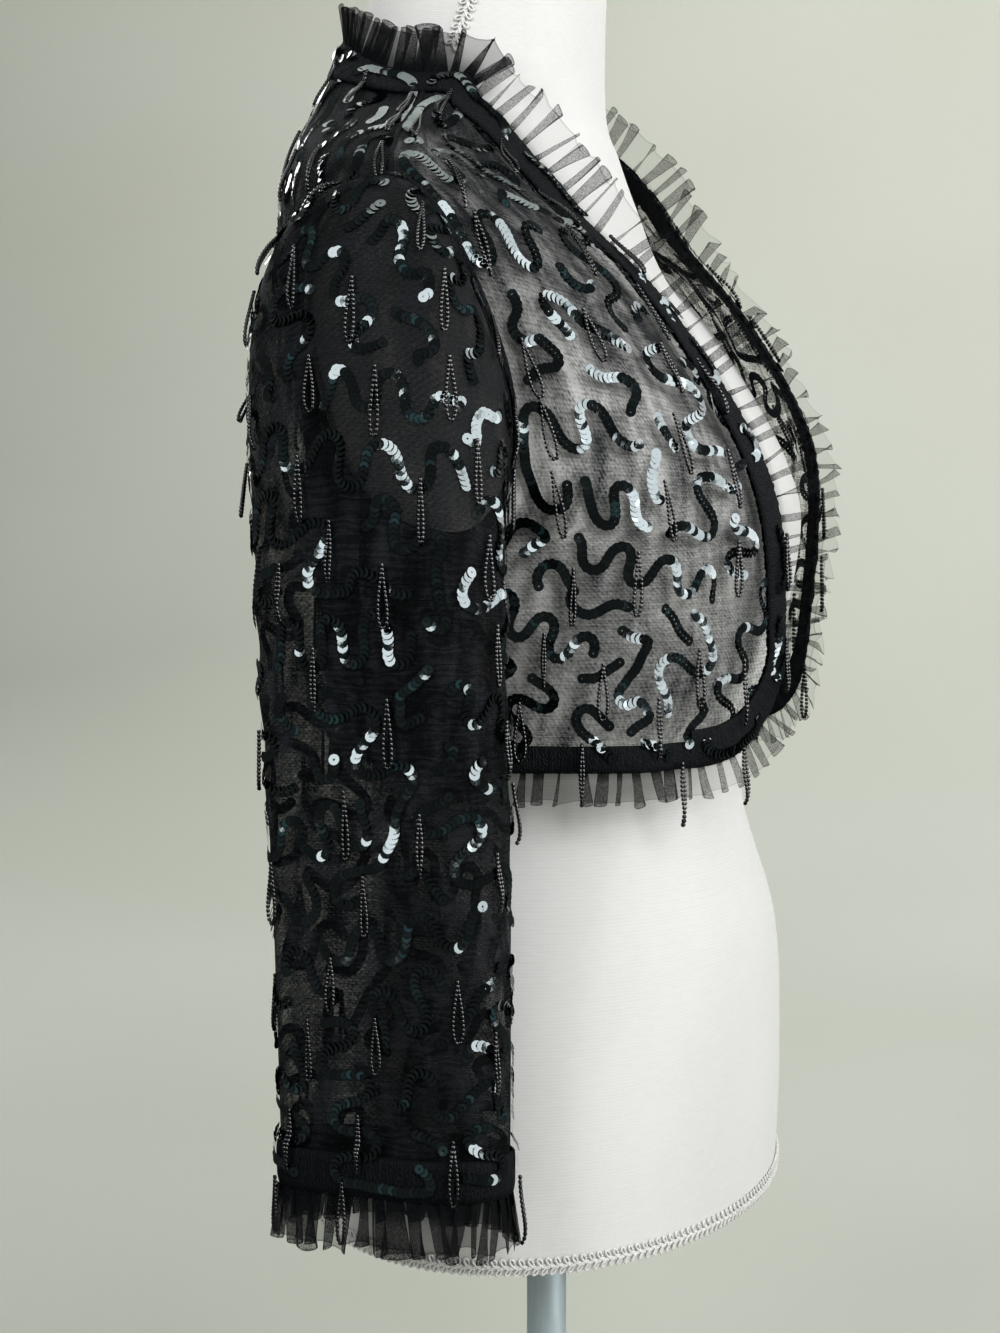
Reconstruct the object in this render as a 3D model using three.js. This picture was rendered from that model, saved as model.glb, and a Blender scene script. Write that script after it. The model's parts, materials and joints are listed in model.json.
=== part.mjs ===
// A cropped cardigan of sheer net, worn open on a limbless dress form that stands on a pole and a round base.
// Millimetres, +Z up. The wearer faces -Y, so the wearer's right arm is on the -X side.
//
// Torso and cloth are both swept through rings. An angle runs round each ring from the front centre (0) past
// the wearer's right side (a quarter turn) to the back (half a turn); the other half is its mirror image.
// A station number runs down the rings, and numbers between two rings are blended smoothly.

import * as THREE from "three";

// ---------- driving dimensions ----------

const BASE_RADIUS = 170;
const BASE_THICKNESS = 14;
const BASE_EDGE_ROUNDING = 5;
const POLE_RADIUS = 11;
const FORM_HEIGHT_ABOVE_FLOOR = 280; // floor to the zero level of the ring tables
const SEAM = 0.3; // between pieces that are sewn or stand together
const HALF_SEAM = 0.7 * SEAM; // from a seam's line to each panel; a bit over half, as the seams slant

const CLOTH = 1.2; // thickness of the net panels
const EASE = 4; // between the form and the inside of the cloth
const BAND_WIDTH = 13;
const BAND_THICKNESS = 1;
const BAND_LIFT = 1.2; // a band's underside above the panel it is sewn to
const CUFF_BAND_WIDTH = 20;
const CUFF_RUFFLE_WIDTH = 25;
const RUFFLE_THICKNESS = 0.9;
const RUFFLE_START = 1.6; // beyond the panel's edge
const RUFFLE_PITCH = 10.4;
const RUFFLE_BASE_WAVE = 0.5; // half height of the waves where the ruffle is gathered
const RUFFLE_TIP_WAVE = 2.9; // and at its free edge
const POINTS_PER_WAVE = 3;
const WAVE_START = 0.25; // of a point's step, so that the points miss the middle of the waves
const CUFF_WAVES = 24;
const CUFF_RUFFLE_LEAN = 6; // degrees outwards
const BACK_NECK_RUFFLE = { width: 18, lean: 22 };
const BRAID_WIDTH = 12;
const BRAID_THICKNESS = 2.4;

// Rings of the dress form, top to bottom. Heights at the side, front and back; half width; how far the middle
// lies behind the pole; depth in front of and behind that middle; how much the front is drawn in.
const FORM_RINGS = [
  { side: 690, front: 690, back: 690, half: 56, middle: 24, fore: 57, aft: 55, drawn: 0 },
  { side: 640, front: 634, back: 648, half: 58, middle: 32, fore: 62, aft: 60, drawn: 0 },
  { side: 588, front: 570, back: 618, half: 63, middle: 40, fore: 70, aft: 63, drawn: 0.15 },
  { side: 563, front: 546, back: 597, half: 88, middle: 41, fore: 78, aft: 68, drawn: 0.42 },
  { side: 549, front: 520, back: 573, half: 118, middle: 38, fore: 84, aft: 78, drawn: 0.55 },
  { side: 534, front: 482, back: 543, half: 148, middle: 35, fore: 96, aft: 89, drawn: 0.42 },
  { side: 515, front: 445, back: 505, half: 168, middle: 30, fore: 117, aft: 99, drawn: 0.08 },
  { side: 468, front: 412, back: 455, half: 173, middle: 22, fore: 132, aft: 104, drawn: -0.05 },
  { side: 410, front: 382, back: 405, half: 163, middle: 12, fore: 139, aft: 108, drawn: -0.15 },
  { side: 350, front: 350, back: 350, half: 152, middle: 4, fore: 139, aft: 114, drawn: -0.2 },
  { side: 292, front: 292, back: 292, half: 138, middle: 0, fore: 126, aft: 106, drawn: -0.1 },
  { side: 215, front: 215, back: 215, half: 123, middle: 0, fore: 105, aft: 92, drawn: 0 },
  { side: 135, front: 135, back: 135, half: 156, middle: 0, fore: 124, aft: 112, drawn: 0 },
  { side: 60, front: 60, back: 60, half: 174, middle: 0, fore: 127, aft: 122, drawn: 0 },
  { side: -6, front: -6, back: -6, half: 177, middle: 0, fore: 125, aft: 122, drawn: 0 },
];

// The cloth follows the form down to the bust and then hangs straight to the hem, clear of the waist.
const CLOTH_RINGS = [
  ...FORM_RINGS.slice(0, 9),
  { side: 350, front: 350, back: 350, half: 153, middle: 4, fore: 138, aft: 114, drawn: -0.2 },
  { side: 292, front: 292, back: 292, half: 150, middle: 2, fore: 136, aft: 110, drawn: -0.15 },
  { side: 236, front: 236, back: 236, half: 146, middle: 0, fore: 132, aft: 106, drawn: -0.1 },
  { side: 180, front: 180, back: 180, half: 144, middle: 0, fore: 130, aft: 104, drawn: -0.1 },
];

// The line of the braid up the side of the form's neck.
const NECK_BRAID_LINE = [
  { station: 0.05, angle: 75 },
  { station: 0.5, angle: 77 },
  { station: 1, angle: 80 },
  { station: 1.5, angle: 83 },
  { station: 1.8, angle: 86 },
];

// Stations on the rings where the cut of the cloth changes.
const NECK = 2.35;
const SHOULDER_TIP = 6;
const UNDERARM = 9;
const CORNER = 10; // the front edge starts to round into the hem
const HEM = 11;
const CORNER_RADIUS = 62;
const ARMHOLE_FRONT = degrees(14.5); // widest reach of the armhole in front of and behind the side line
const ARMHOLE_BACK = degrees(37);

// Each front's free edge: its distance from the centre line, and how far it stands off the form.
const FRONT_EDGES = {
  right: [
    { station: 2.35, gap: 67, stand: 6 },
    { station: 3, gap: 79, stand: 7 },
    { station: 4, gap: 83, stand: 8 },
    { station: 5, gap: 83, stand: 8 },
    { station: 6, gap: 81, stand: 8 },
    { station: 7, gap: 75, stand: 8 },
    { station: 8, gap: 66, stand: 8 },
    { station: 9, gap: 56, stand: 8 },
    { station: 10, gap: 43, stand: 6 },
    { station: 11, gap: 43, stand: 5 },
  ],
  left: [
    { station: 2.35, gap: 68, stand: 7 },
    { station: 3, gap: 64, stand: 12 },
    { station: 4, gap: 60, stand: 18 },
    { station: 5, gap: 59, stand: 19 },
    { station: 6, gap: 60, stand: 18 },
    { station: 7, gap: 62, stand: 17 },
    { station: 8, gap: 63, stand: 15 },
    { station: 9, gap: 62, stand: 10 },
    { station: 10, gap: 58, stand: 6 },
    { station: 11, gap: 58, stand: 5 },
  ],
};
const STAND_OFF_REACH = 45; // how far in from the edge the cloth stands off
const FURTHEST_EDGE_SINE = 0.9986; // keeps the neck point just in front of the shoulder seam

// Long soft folds of the fronts: distance in from the free edge, height, half width, first and last station.
const FRONT_FOLDS = [
  { inset: 46, height: 4, half: 12, from: 4.2, to: 8 },
  { inset: 78, height: 3, half: 13, from: 5.4, to: 9.4 },
  { inset: 100, height: 2.5, half: 14, from: 8.8, to: 12 },
];
const FOLD_FADE = 25; // the folds are flat at the side line and full this far in front of it
const FRONT_FOLD_ENDS = 0.9; // stations over which a fold fades beyond its first and last one

// The sleeve below the underarm: height, middle, half thickness and half width of its flattened rings.
const SLEEVE_RINGS = [
  { height: 325, x: -205, y: 25, thick: 27, wide: 58 },
  { height: 180, x: -207, y: 20, thick: 24.5, wide: 56 },
  { height: 48, x: -210, y: 17, thick: 22, wide: 54 },
];
const SLEEVE_FLATNESS = 0.8; // 1 is an ellipse, less is a flatter tube
// Upright folds of the sleeve: turn from its outer side towards the front, half width, height, and its ends
// along the sleeve (0 the armhole seam, 1 the underarm level, 2 the cuff).
const SLEEVE_FOLDS = [
  { turn: 36, half: 20, height: 3, from: 0.35, to: 1.8 },
  { turn: -54, half: 20, height: 3.5, from: 0.5, to: 2.4 },
  { turn: 126, half: 22, height: 2.5, from: 0.9, to: 2.4 },
];
const SLEEVE_FOLD_ENDS = 0.35; // the length over which a sleeve's fold fades beyond its ends
// How the cap leaves the armhole and turns down, in millimetres of pull on its curve.
const CAP_PULL = { out: 35, outAtTop: 75, round: 15, roundAtBack: 75, drop: 10, down: 60, downAtTop: 190 };

// The ruffle's width, and how far it leans out of the plane of the cloth on each side, in degrees.
const RUFFLE_SHAPE = [
  { station: 2.35, width: 22, right: 45, left: 40 },
  { station: 4, width: 24, right: 60, left: 42 },
  { station: 6, width: 24, right: 60, left: 32 },
  { station: 8, width: 24, right: 56, left: 20 },
  { station: 9, width: 24, right: 52, left: 18 },
  { station: 10, width: 21, right: 36, left: 20 },
  { station: 11, width: 16, right: 14, left: 14 },
];

// Mesh counts.
const SHOULDER_STATIONS = [2.35, 2.65, 3, 3.4, 3.8, 4.3, 4.8, 5.4];
const ARMHOLE_STEPS = 10;
const SIDE_STATIONS = [9.35, 9.7];
const CORNER_STEPS = 5;
const FRONT_COLUMNS = 10;
const BANDED_COLUMNS = 2; // of the front's columns, those under its band
const LEAST_EDGE_SLANT = 0.5; // they widen where a ring meets the edge at a slant, up to this
const BACK_COLUMNS = 20;
const CAP_POSITIONS = [0, 0.12, 0.28, 0.45, 0.63, 0.82];
const SLEEVE_STEPS = 8;
const FORM_COLUMNS = 28;
const FORM_STEPS_PER_RING = 2;
const EDGE_SAMPLE = 3; // spacing of the points that trace the cardigan's edge
const BAND_STEP = 8;
const EDGE_STEPS = 48; // along each side's half of the neck, front and hem edges
const END_MARGIN = 0.01; // the form's normals are taken this far inside its first and last ring
const POLE_SIDES = 32;
const BASE_SIDES = 40;
const BASE_ROUNDING_STEPS = 2;

const MATERIALS = {
  net: { color: 0x17181b, roughness: 0.8, metalness: 0 },
  binding: { color: 0x0e1013, roughness: 0.7, metalness: 0 },
  ruffle: { color: 0x2a2b2e, roughness: 0.85, metalness: 0 },
  linen: { color: 0xe9e6e0, roughness: 0.9, metalness: 0 },
  braid: { color: 0xf3f0ea, roughness: 0.8, metalness: 0 },
  steel: { color: 0x9aa4a8, roughness: 0.35, metalness: 0.9 },
};

// ---------- small helpers ----------

function degrees(value) {
  return (value * Math.PI) / 180;
}

function clamp(value, low, high) {
  return Math.min(high, Math.max(low, value));
}

function range(count) {
  return Array.from({ length: count }, (_, i) => i);
}

// The rows' columns at a place along `key`, on straight lines between the rows.
function lookUp(rows, key, place, column) {
  const next = clamp(rows.findIndex((row) => row[key] > place), 1, rows.length - 1);
  const last = place >= rows.at(-1)[key] ? rows.length - 1 : next;
  const [a, b] = [rows[last - 1], rows[last]];
  const share = clamp((place - a[key]) / (b[key] - a[key]), 0, 1);
  return a[column] + (b[column] - a[column]) * share;
}

// A bump of height 1 that fades to nothing over about twice its half width.
function bump(offset, half) {
  return Math.exp(-((offset / half) ** 2));
}

// 1 between two ends, fading over `fade` outside them.
function between(value, from, to, fade) {
  const rise = THREE.MathUtils.smoothstep(value, from - fade, from);
  return rise * (1 - THREE.MathUtils.smoothstep(value, to, to + fade));
}

// ---------- solids ----------

// A closed mesh from points and triangles, with its faces turned outwards.
function solid(points, triangles) {
  let volume = 0;
  const cross = new THREE.Vector3();
  for (const [a, b, c] of triangles) volume += points[a].dot(cross.crossVectors(points[b], points[c]));
  const faces = volume < 0 ? triangles.map(([a, b, c]) => [a, c, b]) : triangles;
  const geometry = new THREE.BufferGeometry().setFromPoints(points);
  geometry.setIndex(faces.flat());
  geometry.computeVertexNormals();
  return geometry;
}

// A wall of cloth between two grids of points that match row by row, closed round all its rims.
// A joined wall meets itself after its last column, as a tube does.
function wall(outer, inner, joined = false) {
  const rows = outer.length;
  const columns = outer[0].length;
  const spans = joined ? columns : columns - 1;
  const out = (i, j) => i * columns + (j % columns);
  const back = (i, j) => rows * columns + out(i, j);
  const triangles = [];
  const quad = (a, b, c, d) => triangles.push([a, b, c], [a, c, d]);
  for (let j = 0; j < spans; j++) {
    for (let i = 0; i < rows - 1; i++) {
      quad(out(i, j), out(i, j + 1), out(i + 1, j + 1), out(i + 1, j));
      quad(back(i, j), back(i + 1, j), back(i + 1, j + 1), back(i, j + 1));
    }
    quad(back(0, j), back(0, j + 1), out(0, j + 1), out(0, j));
    quad(out(rows - 1, j), out(rows - 1, j + 1), back(rows - 1, j + 1), back(rows - 1, j));
  }
  for (let i = 0; !joined && i < rows - 1; i++) {
    quad(out(i, 0), out(i + 1, 0), back(i + 1, 0), back(i, 0));
    quad(back(i, spans), back(i + 1, spans), out(i + 1, spans), out(i, spans));
  }
  return solid([...outer.flat(), ...inner.flat()], triangles);
}

// A solid stack of rings with a flat lid at each end.
function stack(rings) {
  const columns = rings[0].length;
  const points = rings.flat();
  const triangles = [];
  rings.slice(1).forEach((_, i) => {
    for (let j = 0; j < columns; j++) {
      const [a, b] = [i * columns + j, i * columns + ((j + 1) % columns)];
      triangles.push([a, b, b + columns], [a, b + columns, a + columns]);
    }
  });
  const lid = (ring, start, flip) => {
    const middle = ring.reduce((sum, p) => sum.add(p), new THREE.Vector3()).divideScalar(columns);
    points.push(middle);
    for (let j = 0; j < columns; j++) {
      const [a, b] = [start + j, start + ((j + 1) % columns)];
      triangles.push(flip ? [points.length - 1, b, a] : [points.length - 1, a, b]);
    }
  };
  lid(rings[0], 0, true);
  lid(rings.at(-1), (rings.length - 1) * columns, false);
  return solid(points, triangles);
}

function piece(name, geometry, material) {
  const mesh = new THREE.Mesh(geometry, new THREE.MeshStandardMaterial(MATERIALS[material]));
  mesh.name = name;
  return mesh;
}

// ---------- ring surfaces ----------

// All columns of a ring table at a station, on a Catmull-Rom curve through the rings.
function ringAt(rings, station) {
  const whole = clamp(Math.floor(station), 0, rings.length - 2);
  const t = station - whole;
  const [p0, p1, p2, p3] = [-1, 0, 1, 2].map((k) => rings[clamp(whole + k, 0, rings.length - 1)]);
  const blend = (a, b, c, d) =>
    0.5 * (2 * b + (c - a) * t + (2 * a - 5 * b + 4 * c - d) * t ** 2 + (3 * b - a - 3 * c + d) * t ** 3);
  return Object.fromEntries(Object.keys(p1).map((key) => [key, blend(p0[key], p1[key], p2[key], p3[key])]));
}

// A point on a ring surface, for angles from the front (0) over the wearer's right to the back.
function onRing(rings, angle, station) {
  const ring = ringAt(rings, station);
  const cos = Math.cos(angle);
  const ahead = cos >= 0;
  const reach = ahead ? ring.fore * (cos * (1 - ring.drawn) + ring.drawn * cos ** 3) : ring.aft * cos;
  const rise = ((ahead ? ring.front : ring.back) - ring.side) * cos ** 2;
  return new THREE.Vector3(-ring.half * Math.sin(angle), ring.middle - reach, ring.side + rise);
}

function ringNormal(rings, angle, station) {
  const step = 1e-3;
  const round = onRing(rings, angle + step, station).sub(onRing(rings, angle - step, station));
  const down = onRing(rings, angle, station + step).sub(onRing(rings, angle, station - step));
  return round.cross(down).normalize();
}

// ---------- cloth surface ----------

const SIDES = { right: 1, left: -1 };

function edgeGap(side, station) {
  const corner = clamp(station - CORNER, 0, 1);
  const gap = lookUp(FRONT_EDGES[side], "station", station, "gap");
  return gap + CORNER_RADIUS * (1 - Math.sqrt(1 - corner ** 2));
}

// The angle of a front's free edge at a station.
function edgeAngle(side, station) {
  return Math.asin(Math.min(edgeGap(side, station) / ringAt(CLOTH_RINGS, station).half, FURTHEST_EDGE_SINE));
}

// How far the cloth stands off its ring at a place: its ease, the standing edge and the folds.
function clothStand(side, angle, station) {
  const inset = (angle - edgeAngle(side, clamp(station, NECK, CORNER))) * ringAt(CLOTH_RINGS, station).half;
  const edge = lookUp(FRONT_EDGES[side], "station", station, "stand") - EASE;
  const beforeSide = (degrees(90) - angle) * ringAt(CLOTH_RINGS, station).half;
  const folds = FRONT_FOLDS.map(
    ({ height, inset: middle, half, from, to }) =>
      height * bump(inset - middle, half) * between(station, from, to, FRONT_FOLD_ENDS),
  );
  const folded = folds.reduce((a, b) => a + b) * THREE.MathUtils.smoothstep(beforeSide, 0, FOLD_FADE);
  return EASE + edge * bump(inset, STAND_OFF_REACH) + folded;
}

// A point of the cloth, `lift` above its inner face. Angles past the back centre are the other side's.
function onCloth(side, angle, station, lift) {
  const otherSide = side === "right" ? "left" : "right";
  if (angle > Math.PI) return onCloth(otherSide, 2 * Math.PI - angle, station, lift);
  const point = onRing(CLOTH_RINGS, angle, station);
  const normal = ringNormal(CLOTH_RINGS, angle, station);
  point.addScaledVector(normal, clothStand(side, angle, station) + lift);
  point.x *= SIDES[side];
  return point;
}

function clothNormal(side, angle, station) {
  const normal = ringNormal(CLOTH_RINGS, angle, station);
  normal.x *= SIDES[side];
  return normal;
}

// Half the armhole's width at a station, as an angle in front of or behind the side line.
function armholeReach(station, widest) {
  const share = clamp((station - SHOULDER_TIP) / (UNDERARM - SHOULDER_TIP), 0, 1);
  return widest * Math.sqrt(1 - (2 * share - 1) ** 2);
}

const ARMHOLE_STATIONS = range(ARMHOLE_STEPS + 1).map(
  (i) => SHOULDER_TIP + ((UNDERARM - SHOULDER_TIP) * (1 - Math.cos((Math.PI * i) / ARMHOLE_STEPS))) / 2,
);
const CORNER_STATIONS = range(CORNER_STEPS + 1).map(
  (i) => CORNER + Math.sin(degrees(90) * (i / CORNER_STEPS)),
);
const STATIONS = [...SHOULDER_STATIONS, ...ARMHOLE_STATIONS, ...SIDE_STATIONS, ...CORNER_STATIONS];

// The angle that moves a point half a seam's width along its ring from the side line.
function halfSeam(station, direction) {
  const step = 0.01;
  const from = onRing(CLOTH_RINGS, degrees(90) + direction * step, station);
  const to = onRing(CLOTH_RINGS, degrees(90) + 2 * direction * step, station);
  return (HALF_SEAM * step) / from.distanceTo(to);
}

// ---------- the panels ----------

// How squarely a ring meets the free edge: 1 is square, less is slanted.
function edgeSlant(side, station) {
  const step = 0.02;
  const at = (angle, place) => onCloth(side, angle, place, 0);
  const angle = edgeAngle(side, station);
  const round = at(angle + step, station).sub(at(angle, station)).normalize();
  const [above, below] = [station - step, station + step];
  const down = at(edgeAngle(side, below), below).sub(at(edgeAngle(side, above), above)).normalize();
  return Math.max(round.cross(down).length(), LEAST_EDGE_SLANT);
}

function panel(stations, anglesAt) {
  const grid = (lift) =>
    stations.map((station) => anglesAt(station).map(([side, angle]) => onCloth(side, angle, station, lift)));
  return wall(grid(CLOTH), grid(0));
}

// A front runs from its free edge to the shoulder seam, armhole and side seam.
// Its first columns lie under the band along the edge.
function frontPanel(side) {
  return panel(STATIONS, (station) => {
    const from = edgeAngle(side, station);
    const to = degrees(90) - halfSeam(station, -1) - armholeReach(station, ARMHOLE_FRONT);
    const width = (to - from) * ringAt(CLOTH_RINGS, station).half;
    const banded = Math.min(BAND_WIDTH / edgeSlant(side, station) / width, BANDED_COLUMNS / FRONT_COLUMNS);
    return range(FRONT_COLUMNS + 1).map((j) => {
      const beyond = j - BANDED_COLUMNS;
      const rest = ((1 - banded) * beyond) / (FRONT_COLUMNS - BANDED_COLUMNS);
      const share = beyond < 0 ? (banded * j) / BANDED_COLUMNS : banded + rest;
      return [side, from + (to - from) * share];
    });
  });
}

function backPanel() {
  return panel(STATIONS, (station) => {
    const from = degrees(90) + halfSeam(station, 1) + armholeReach(station, ARMHOLE_BACK);
    const to = 2 * Math.PI - from;
    return range(BACK_COLUMNS + 1).map((j) => ["right", from + ((to - from) * j) / BACK_COLUMNS]);
  });
}

// ---------- the sleeves ----------

// A point on the armhole for a turn from its top (0) over the front to the underarm (half a turn) and back.
function onArmhole(turn, lift) {
  const station = SHOULDER_TIP + ((UNDERARM - SHOULDER_TIP) * (1 - Math.cos(turn))) / 2;
  const ahead = Math.sin(turn) >= 0;
  const angle = degrees(90) - Math.sin(turn) * (ahead ? ARMHOLE_FRONT : ARMHOLE_BACK);
  return { point: onCloth("right", angle, station, lift), normal: clothNormal("right", angle, station) };
}

// A point of the hanging sleeve at a height, for a turn from its outer side over the front.
function onSleeveRing(turn, height) {
  const rings = [...SLEEVE_RINGS].reverse();
  const size = (column) => lookUp(rings, "height", height, column);
  const cos = Math.cos(turn);
  const flat = Math.sign(cos) * Math.abs(cos) ** SLEEVE_FLATNESS;
  const x = size("x") - size("thick") * flat;
  return new THREE.Vector3(x, size("y") - size("wide") * Math.sin(turn), height);
}

const SLEEVE_TOP = SLEEVE_RINGS[0].height;
const SLEEVE_END = SLEEVE_RINGS.at(-1).height;
const ARMHOLE_MIDDLE = onCloth("right", degrees(90), (SHOULDER_TIP + UNDERARM) / 2, 0);

// The middle of the sleeve's cloth: `along` runs from the armhole seam (0) to the underarm level (1) on a
// Hermite curve that leaves the armhole squarely, and on down to the cuff (2).
function sleeveMiddle(turn, along) {
  if (along >= 1) return onSleeveRing(turn, SLEEVE_TOP + (SLEEVE_END - SLEEVE_TOP) * (along - 1));
  const { point, normal } = onArmhole(turn, CLOTH + SEAM);
  const spoke = point.clone().sub(ARMHOLE_MIDDLE);
  spoke.addScaledVector(normal, -spoke.dot(normal)).normalize();
  point.addScaledVector(spoke, -(2 * SEAM + CLOTH / 2));
  const top = (1 + Math.cos(turn)) / 2;
  const behind = Math.max(0, -Math.sin(turn));
  const leave = normal.multiplyScalar(CAP_PULL.out + CAP_PULL.outAtTop * top);
  leave.addScaledVector(spoke, CAP_PULL.round + CAP_PULL.roundAtBack * behind);
  leave.z -= CAP_PULL.drop;
  const arrive = new THREE.Vector3(0, 0, -(CAP_PULL.down + CAP_PULL.downAtTop * top));
  const t = along;
  return new THREE.Vector3()
    .addScaledVector(point, 2 * t ** 3 - 3 * t ** 2 + 1)
    .addScaledVector(leave, t ** 3 - 2 * t ** 2 + t)
    .addScaledVector(onSleeveRing(turn, SLEEVE_TOP), 3 * t ** 2 - 2 * t ** 3)
    .addScaledVector(arrive, t ** 3 - t ** 2);
}

function sleeveNormal(turn, along) {
  const step = 0.02;
  const early = Math.min(along, 2 - step);
  const round = sleeveMiddle(turn + step, early).sub(sleeveMiddle(turn - step, early));
  const down = sleeveMiddle(turn, early + step).sub(sleeveMiddle(turn, early));
  return down.cross(round).normalize();
}

// A point of the right sleeve, `lift` outside the middle of its cloth.
function onSleeve(turn, along, lift) {
  const folds = SLEEVE_FOLDS.map((fold) => {
    const away = Math.atan2(Math.sin(turn - degrees(fold.turn)), Math.cos(turn - degrees(fold.turn)));
    const present = between(along, fold.from, fold.to, SLEEVE_FOLD_ENDS);
    return fold.height * bump(away, degrees(fold.half)) * present;
  });
  const raised = lift + folds.reduce((a, b) => a + b);
  return sleeveMiddle(turn, along).addScaledVector(sleeveNormal(turn, along), raised);
}

const CUFF_BAND_TOP = 2 - CUFF_BAND_WIDTH / (SLEEVE_TOP - SLEEVE_END);
const SLEEVE_POSITIONS = [
  ...CAP_POSITIONS,
  ...range(SLEEVE_STEPS).map((i) => 1 + ((CUFF_BAND_TOP - 1) * i) / (SLEEVE_STEPS - 1)),
  2,
];

function mirrored(grid, side) {
  return grid.map((row) => row.map((p) => new THREE.Vector3(p.x * SIDES[side], p.y, p.z)));
}

// A tube of cloth on the sleeve, between two lifts, through the given positions along it.
function sleeveTube(side, positions, outer, inner) {
  const turns = range(2 * ARMHOLE_STEPS).map((j) => (Math.PI * j) / ARMHOLE_STEPS);
  const grid = (lift) => positions.map((along) => turns.map((turn) => onSleeve(turn, along, lift)));
  return wall(mirrored(grid(outer), side), mirrored(grid(inner), side), true);
}

// ---------- bands and ruffles ----------

// Points along the cardigan's whole free edge: back neck, right front, hem, left front and back again.
function traceEdge() {
  const half = (side) => {
    const samples = [];
    const add = (angle, station, part) => samples.push({ side, angle, station, part });
    const steps = EDGE_STEPS;
    const [neckEnd, hemStart] = [edgeAngle(side, NECK), edgeAngle(side, HEM)];
    range(steps).forEach((i) => add(Math.PI + ((neckEnd - Math.PI) * i) / steps, NECK, "front"));
    range(steps).forEach((i) => {
      const station = NECK + ((CORNER - NECK) * i) / steps;
      add(edgeAngle(side, station), station, "front");
    });
    range(steps / 2).forEach((i) => {
      const station = CORNER + Math.sin((degrees(90) * i) / (steps / 2));
      add(edgeAngle(side, station), station, "front");
    });
    range(steps + 1).forEach((i) => add(hemStart + ((Math.PI - hemStart) * i) / steps, HEM, "hem"));
    return samples;
  };
  const loop = [...half("right"), ...half("left").reverse().slice(1, -1)];
  let length = 0;
  loop.forEach((sample, i) => {
    sample.point = onCloth(sample.side, sample.angle, sample.station, CLOTH / 2);
    length += i ? sample.point.distanceTo(loop[i - 1].point) : 0;
    sample.distance = length;
  });
  return { loop, length: length + loop[0].point.distanceTo(loop.at(-1).point) };
}

const EDGE = traceEdge();
const HEM_FROM = EDGE.loop.find((sample) => sample.part === "hem").distance;
const HEM_TO = EDGE.loop.findLast((sample) => sample.part === "hem").distance;

// The place on the edge at a distance along it: side, angle and station on the cloth, and the point there.
function edgePlace(distance) {
  const s = ((distance % EDGE.length) + EDGE.length) % EDGE.length;
  const found = EDGE.loop.findIndex((sample) => sample.distance > s);
  const next = found < 0 ? EDGE.loop.length : found;
  const [a, b] = [EDGE.loop[next - 1], EDGE.loop[next % EDGE.loop.length]];
  const end = found < 0 ? EDGE.length : b.distance;
  const share = (s - a.distance) / (end - a.distance);
  const angle = a.side === b.side ? a.angle + (b.angle - a.angle) * share : a.angle;
  const station = a.station + (b.station - a.station) * share;
  return { side: a.side, angle, station, point: a.point.clone().lerp(b.point, share) };
}

// The edge's own directions at a distance along it: outwards from the body, and away from the panel.
function edgeFrame(distance) {
  const place = edgePlace(distance);
  const normal = clothNormal(place.side, place.angle, place.station);
  const along = edgePlace(distance + 2 * EDGE_SAMPLE).point.sub(edgePlace(distance - 2 * EDGE_SAMPLE).point);
  const away = normal.clone().cross(along).normalize();
  return { ...place, normal, away };
}

// The place on the cloth that lies `inset` in from the edge, square to it.
function insetPlace(frame, inset) {
  const step = 1e-3;
  const here = onCloth(frame.side, frame.angle, frame.station, 0);
  const round = onCloth(frame.side, frame.angle + step, frame.station, 0).sub(here).divideScalar(step);
  const down = onCloth(frame.side, frame.angle, frame.station - step, 0).sub(here).divideScalar(-step);
  const wanted = frame.away.clone().multiplyScalar(-inset);
  const [rr, dd, rd] = [round.dot(round), down.dot(down), round.dot(down)];
  const [rw, dw] = [round.dot(wanted), down.dot(wanted)];
  const whole = rr * dd - rd * rd;
  const angle = frame.angle + (rw * dd - dw * rd) / whole;
  return { side: frame.side, angle, station: frame.station + (dw * rr - rw * rd) / whole };
}

// A flat binding sewn on the panels along a stretch of their edge.
function edgeBand(from, to) {
  const steps = Math.round((to - from) / BAND_STEP);
  const frames = range(steps + 1).map((i) => edgeFrame(from + ((to - from) * i) / steps));
  const grid = (lift) =>
    [SEAM, BAND_WIDTH].map((inset) =>
      frames.map((frame) => {
        const place = insetPlace(frame, inset);
        return onCloth(place.side, place.angle, place.station, CLOTH + BAND_LIFT + lift);
      }),
    );
  return wall(grid(BAND_THICKNESS), grid(0));
}

// A ruffle of gathered net. Each frame gives the point it starts from, the way it runs and the way it waves.
function ruffle(frames, joined) {
  const grid = (offset) =>
    [0, 1].map((share) =>
      frames.map(({ start, run, across, width, phase }) => {
        const wave = RUFFLE_BASE_WAVE + (RUFFLE_TIP_WAVE - RUFFLE_BASE_WAVE) * share;
        const point = start.clone().addScaledVector(run, width * share);
        return point.addScaledVector(across, wave * Math.sin(phase) + offset);
      }),
    );
  return wall(grid(RUFFLE_THICKNESS / 2), grid(-RUFFLE_THICKNESS / 2), joined);
}

function wavePhase(i) {
  return (2 * Math.PI * (i + WAVE_START)) / POINTS_PER_WAVE;
}

// The ruffle's width and lean at a place on the edge; round the back neck they change to its own.
function ruffleShape(frame) {
  const shape = (column) => lookUp(RUFFLE_SHAPE, "station", frame.station, column);
  const behind = frame.station < CORNER ? clamp((frame.angle - degrees(90)) / degrees(90), 0, 1) : 0;
  const mixed = (value, atBack) => value + (atBack - value) * behind;
  return {
    width: mixed(shape("width"), BACK_NECK_RUFFLE.width),
    lean: degrees(mixed(shape(frame.side), BACK_NECK_RUFFLE.lean)),
  };
}

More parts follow.
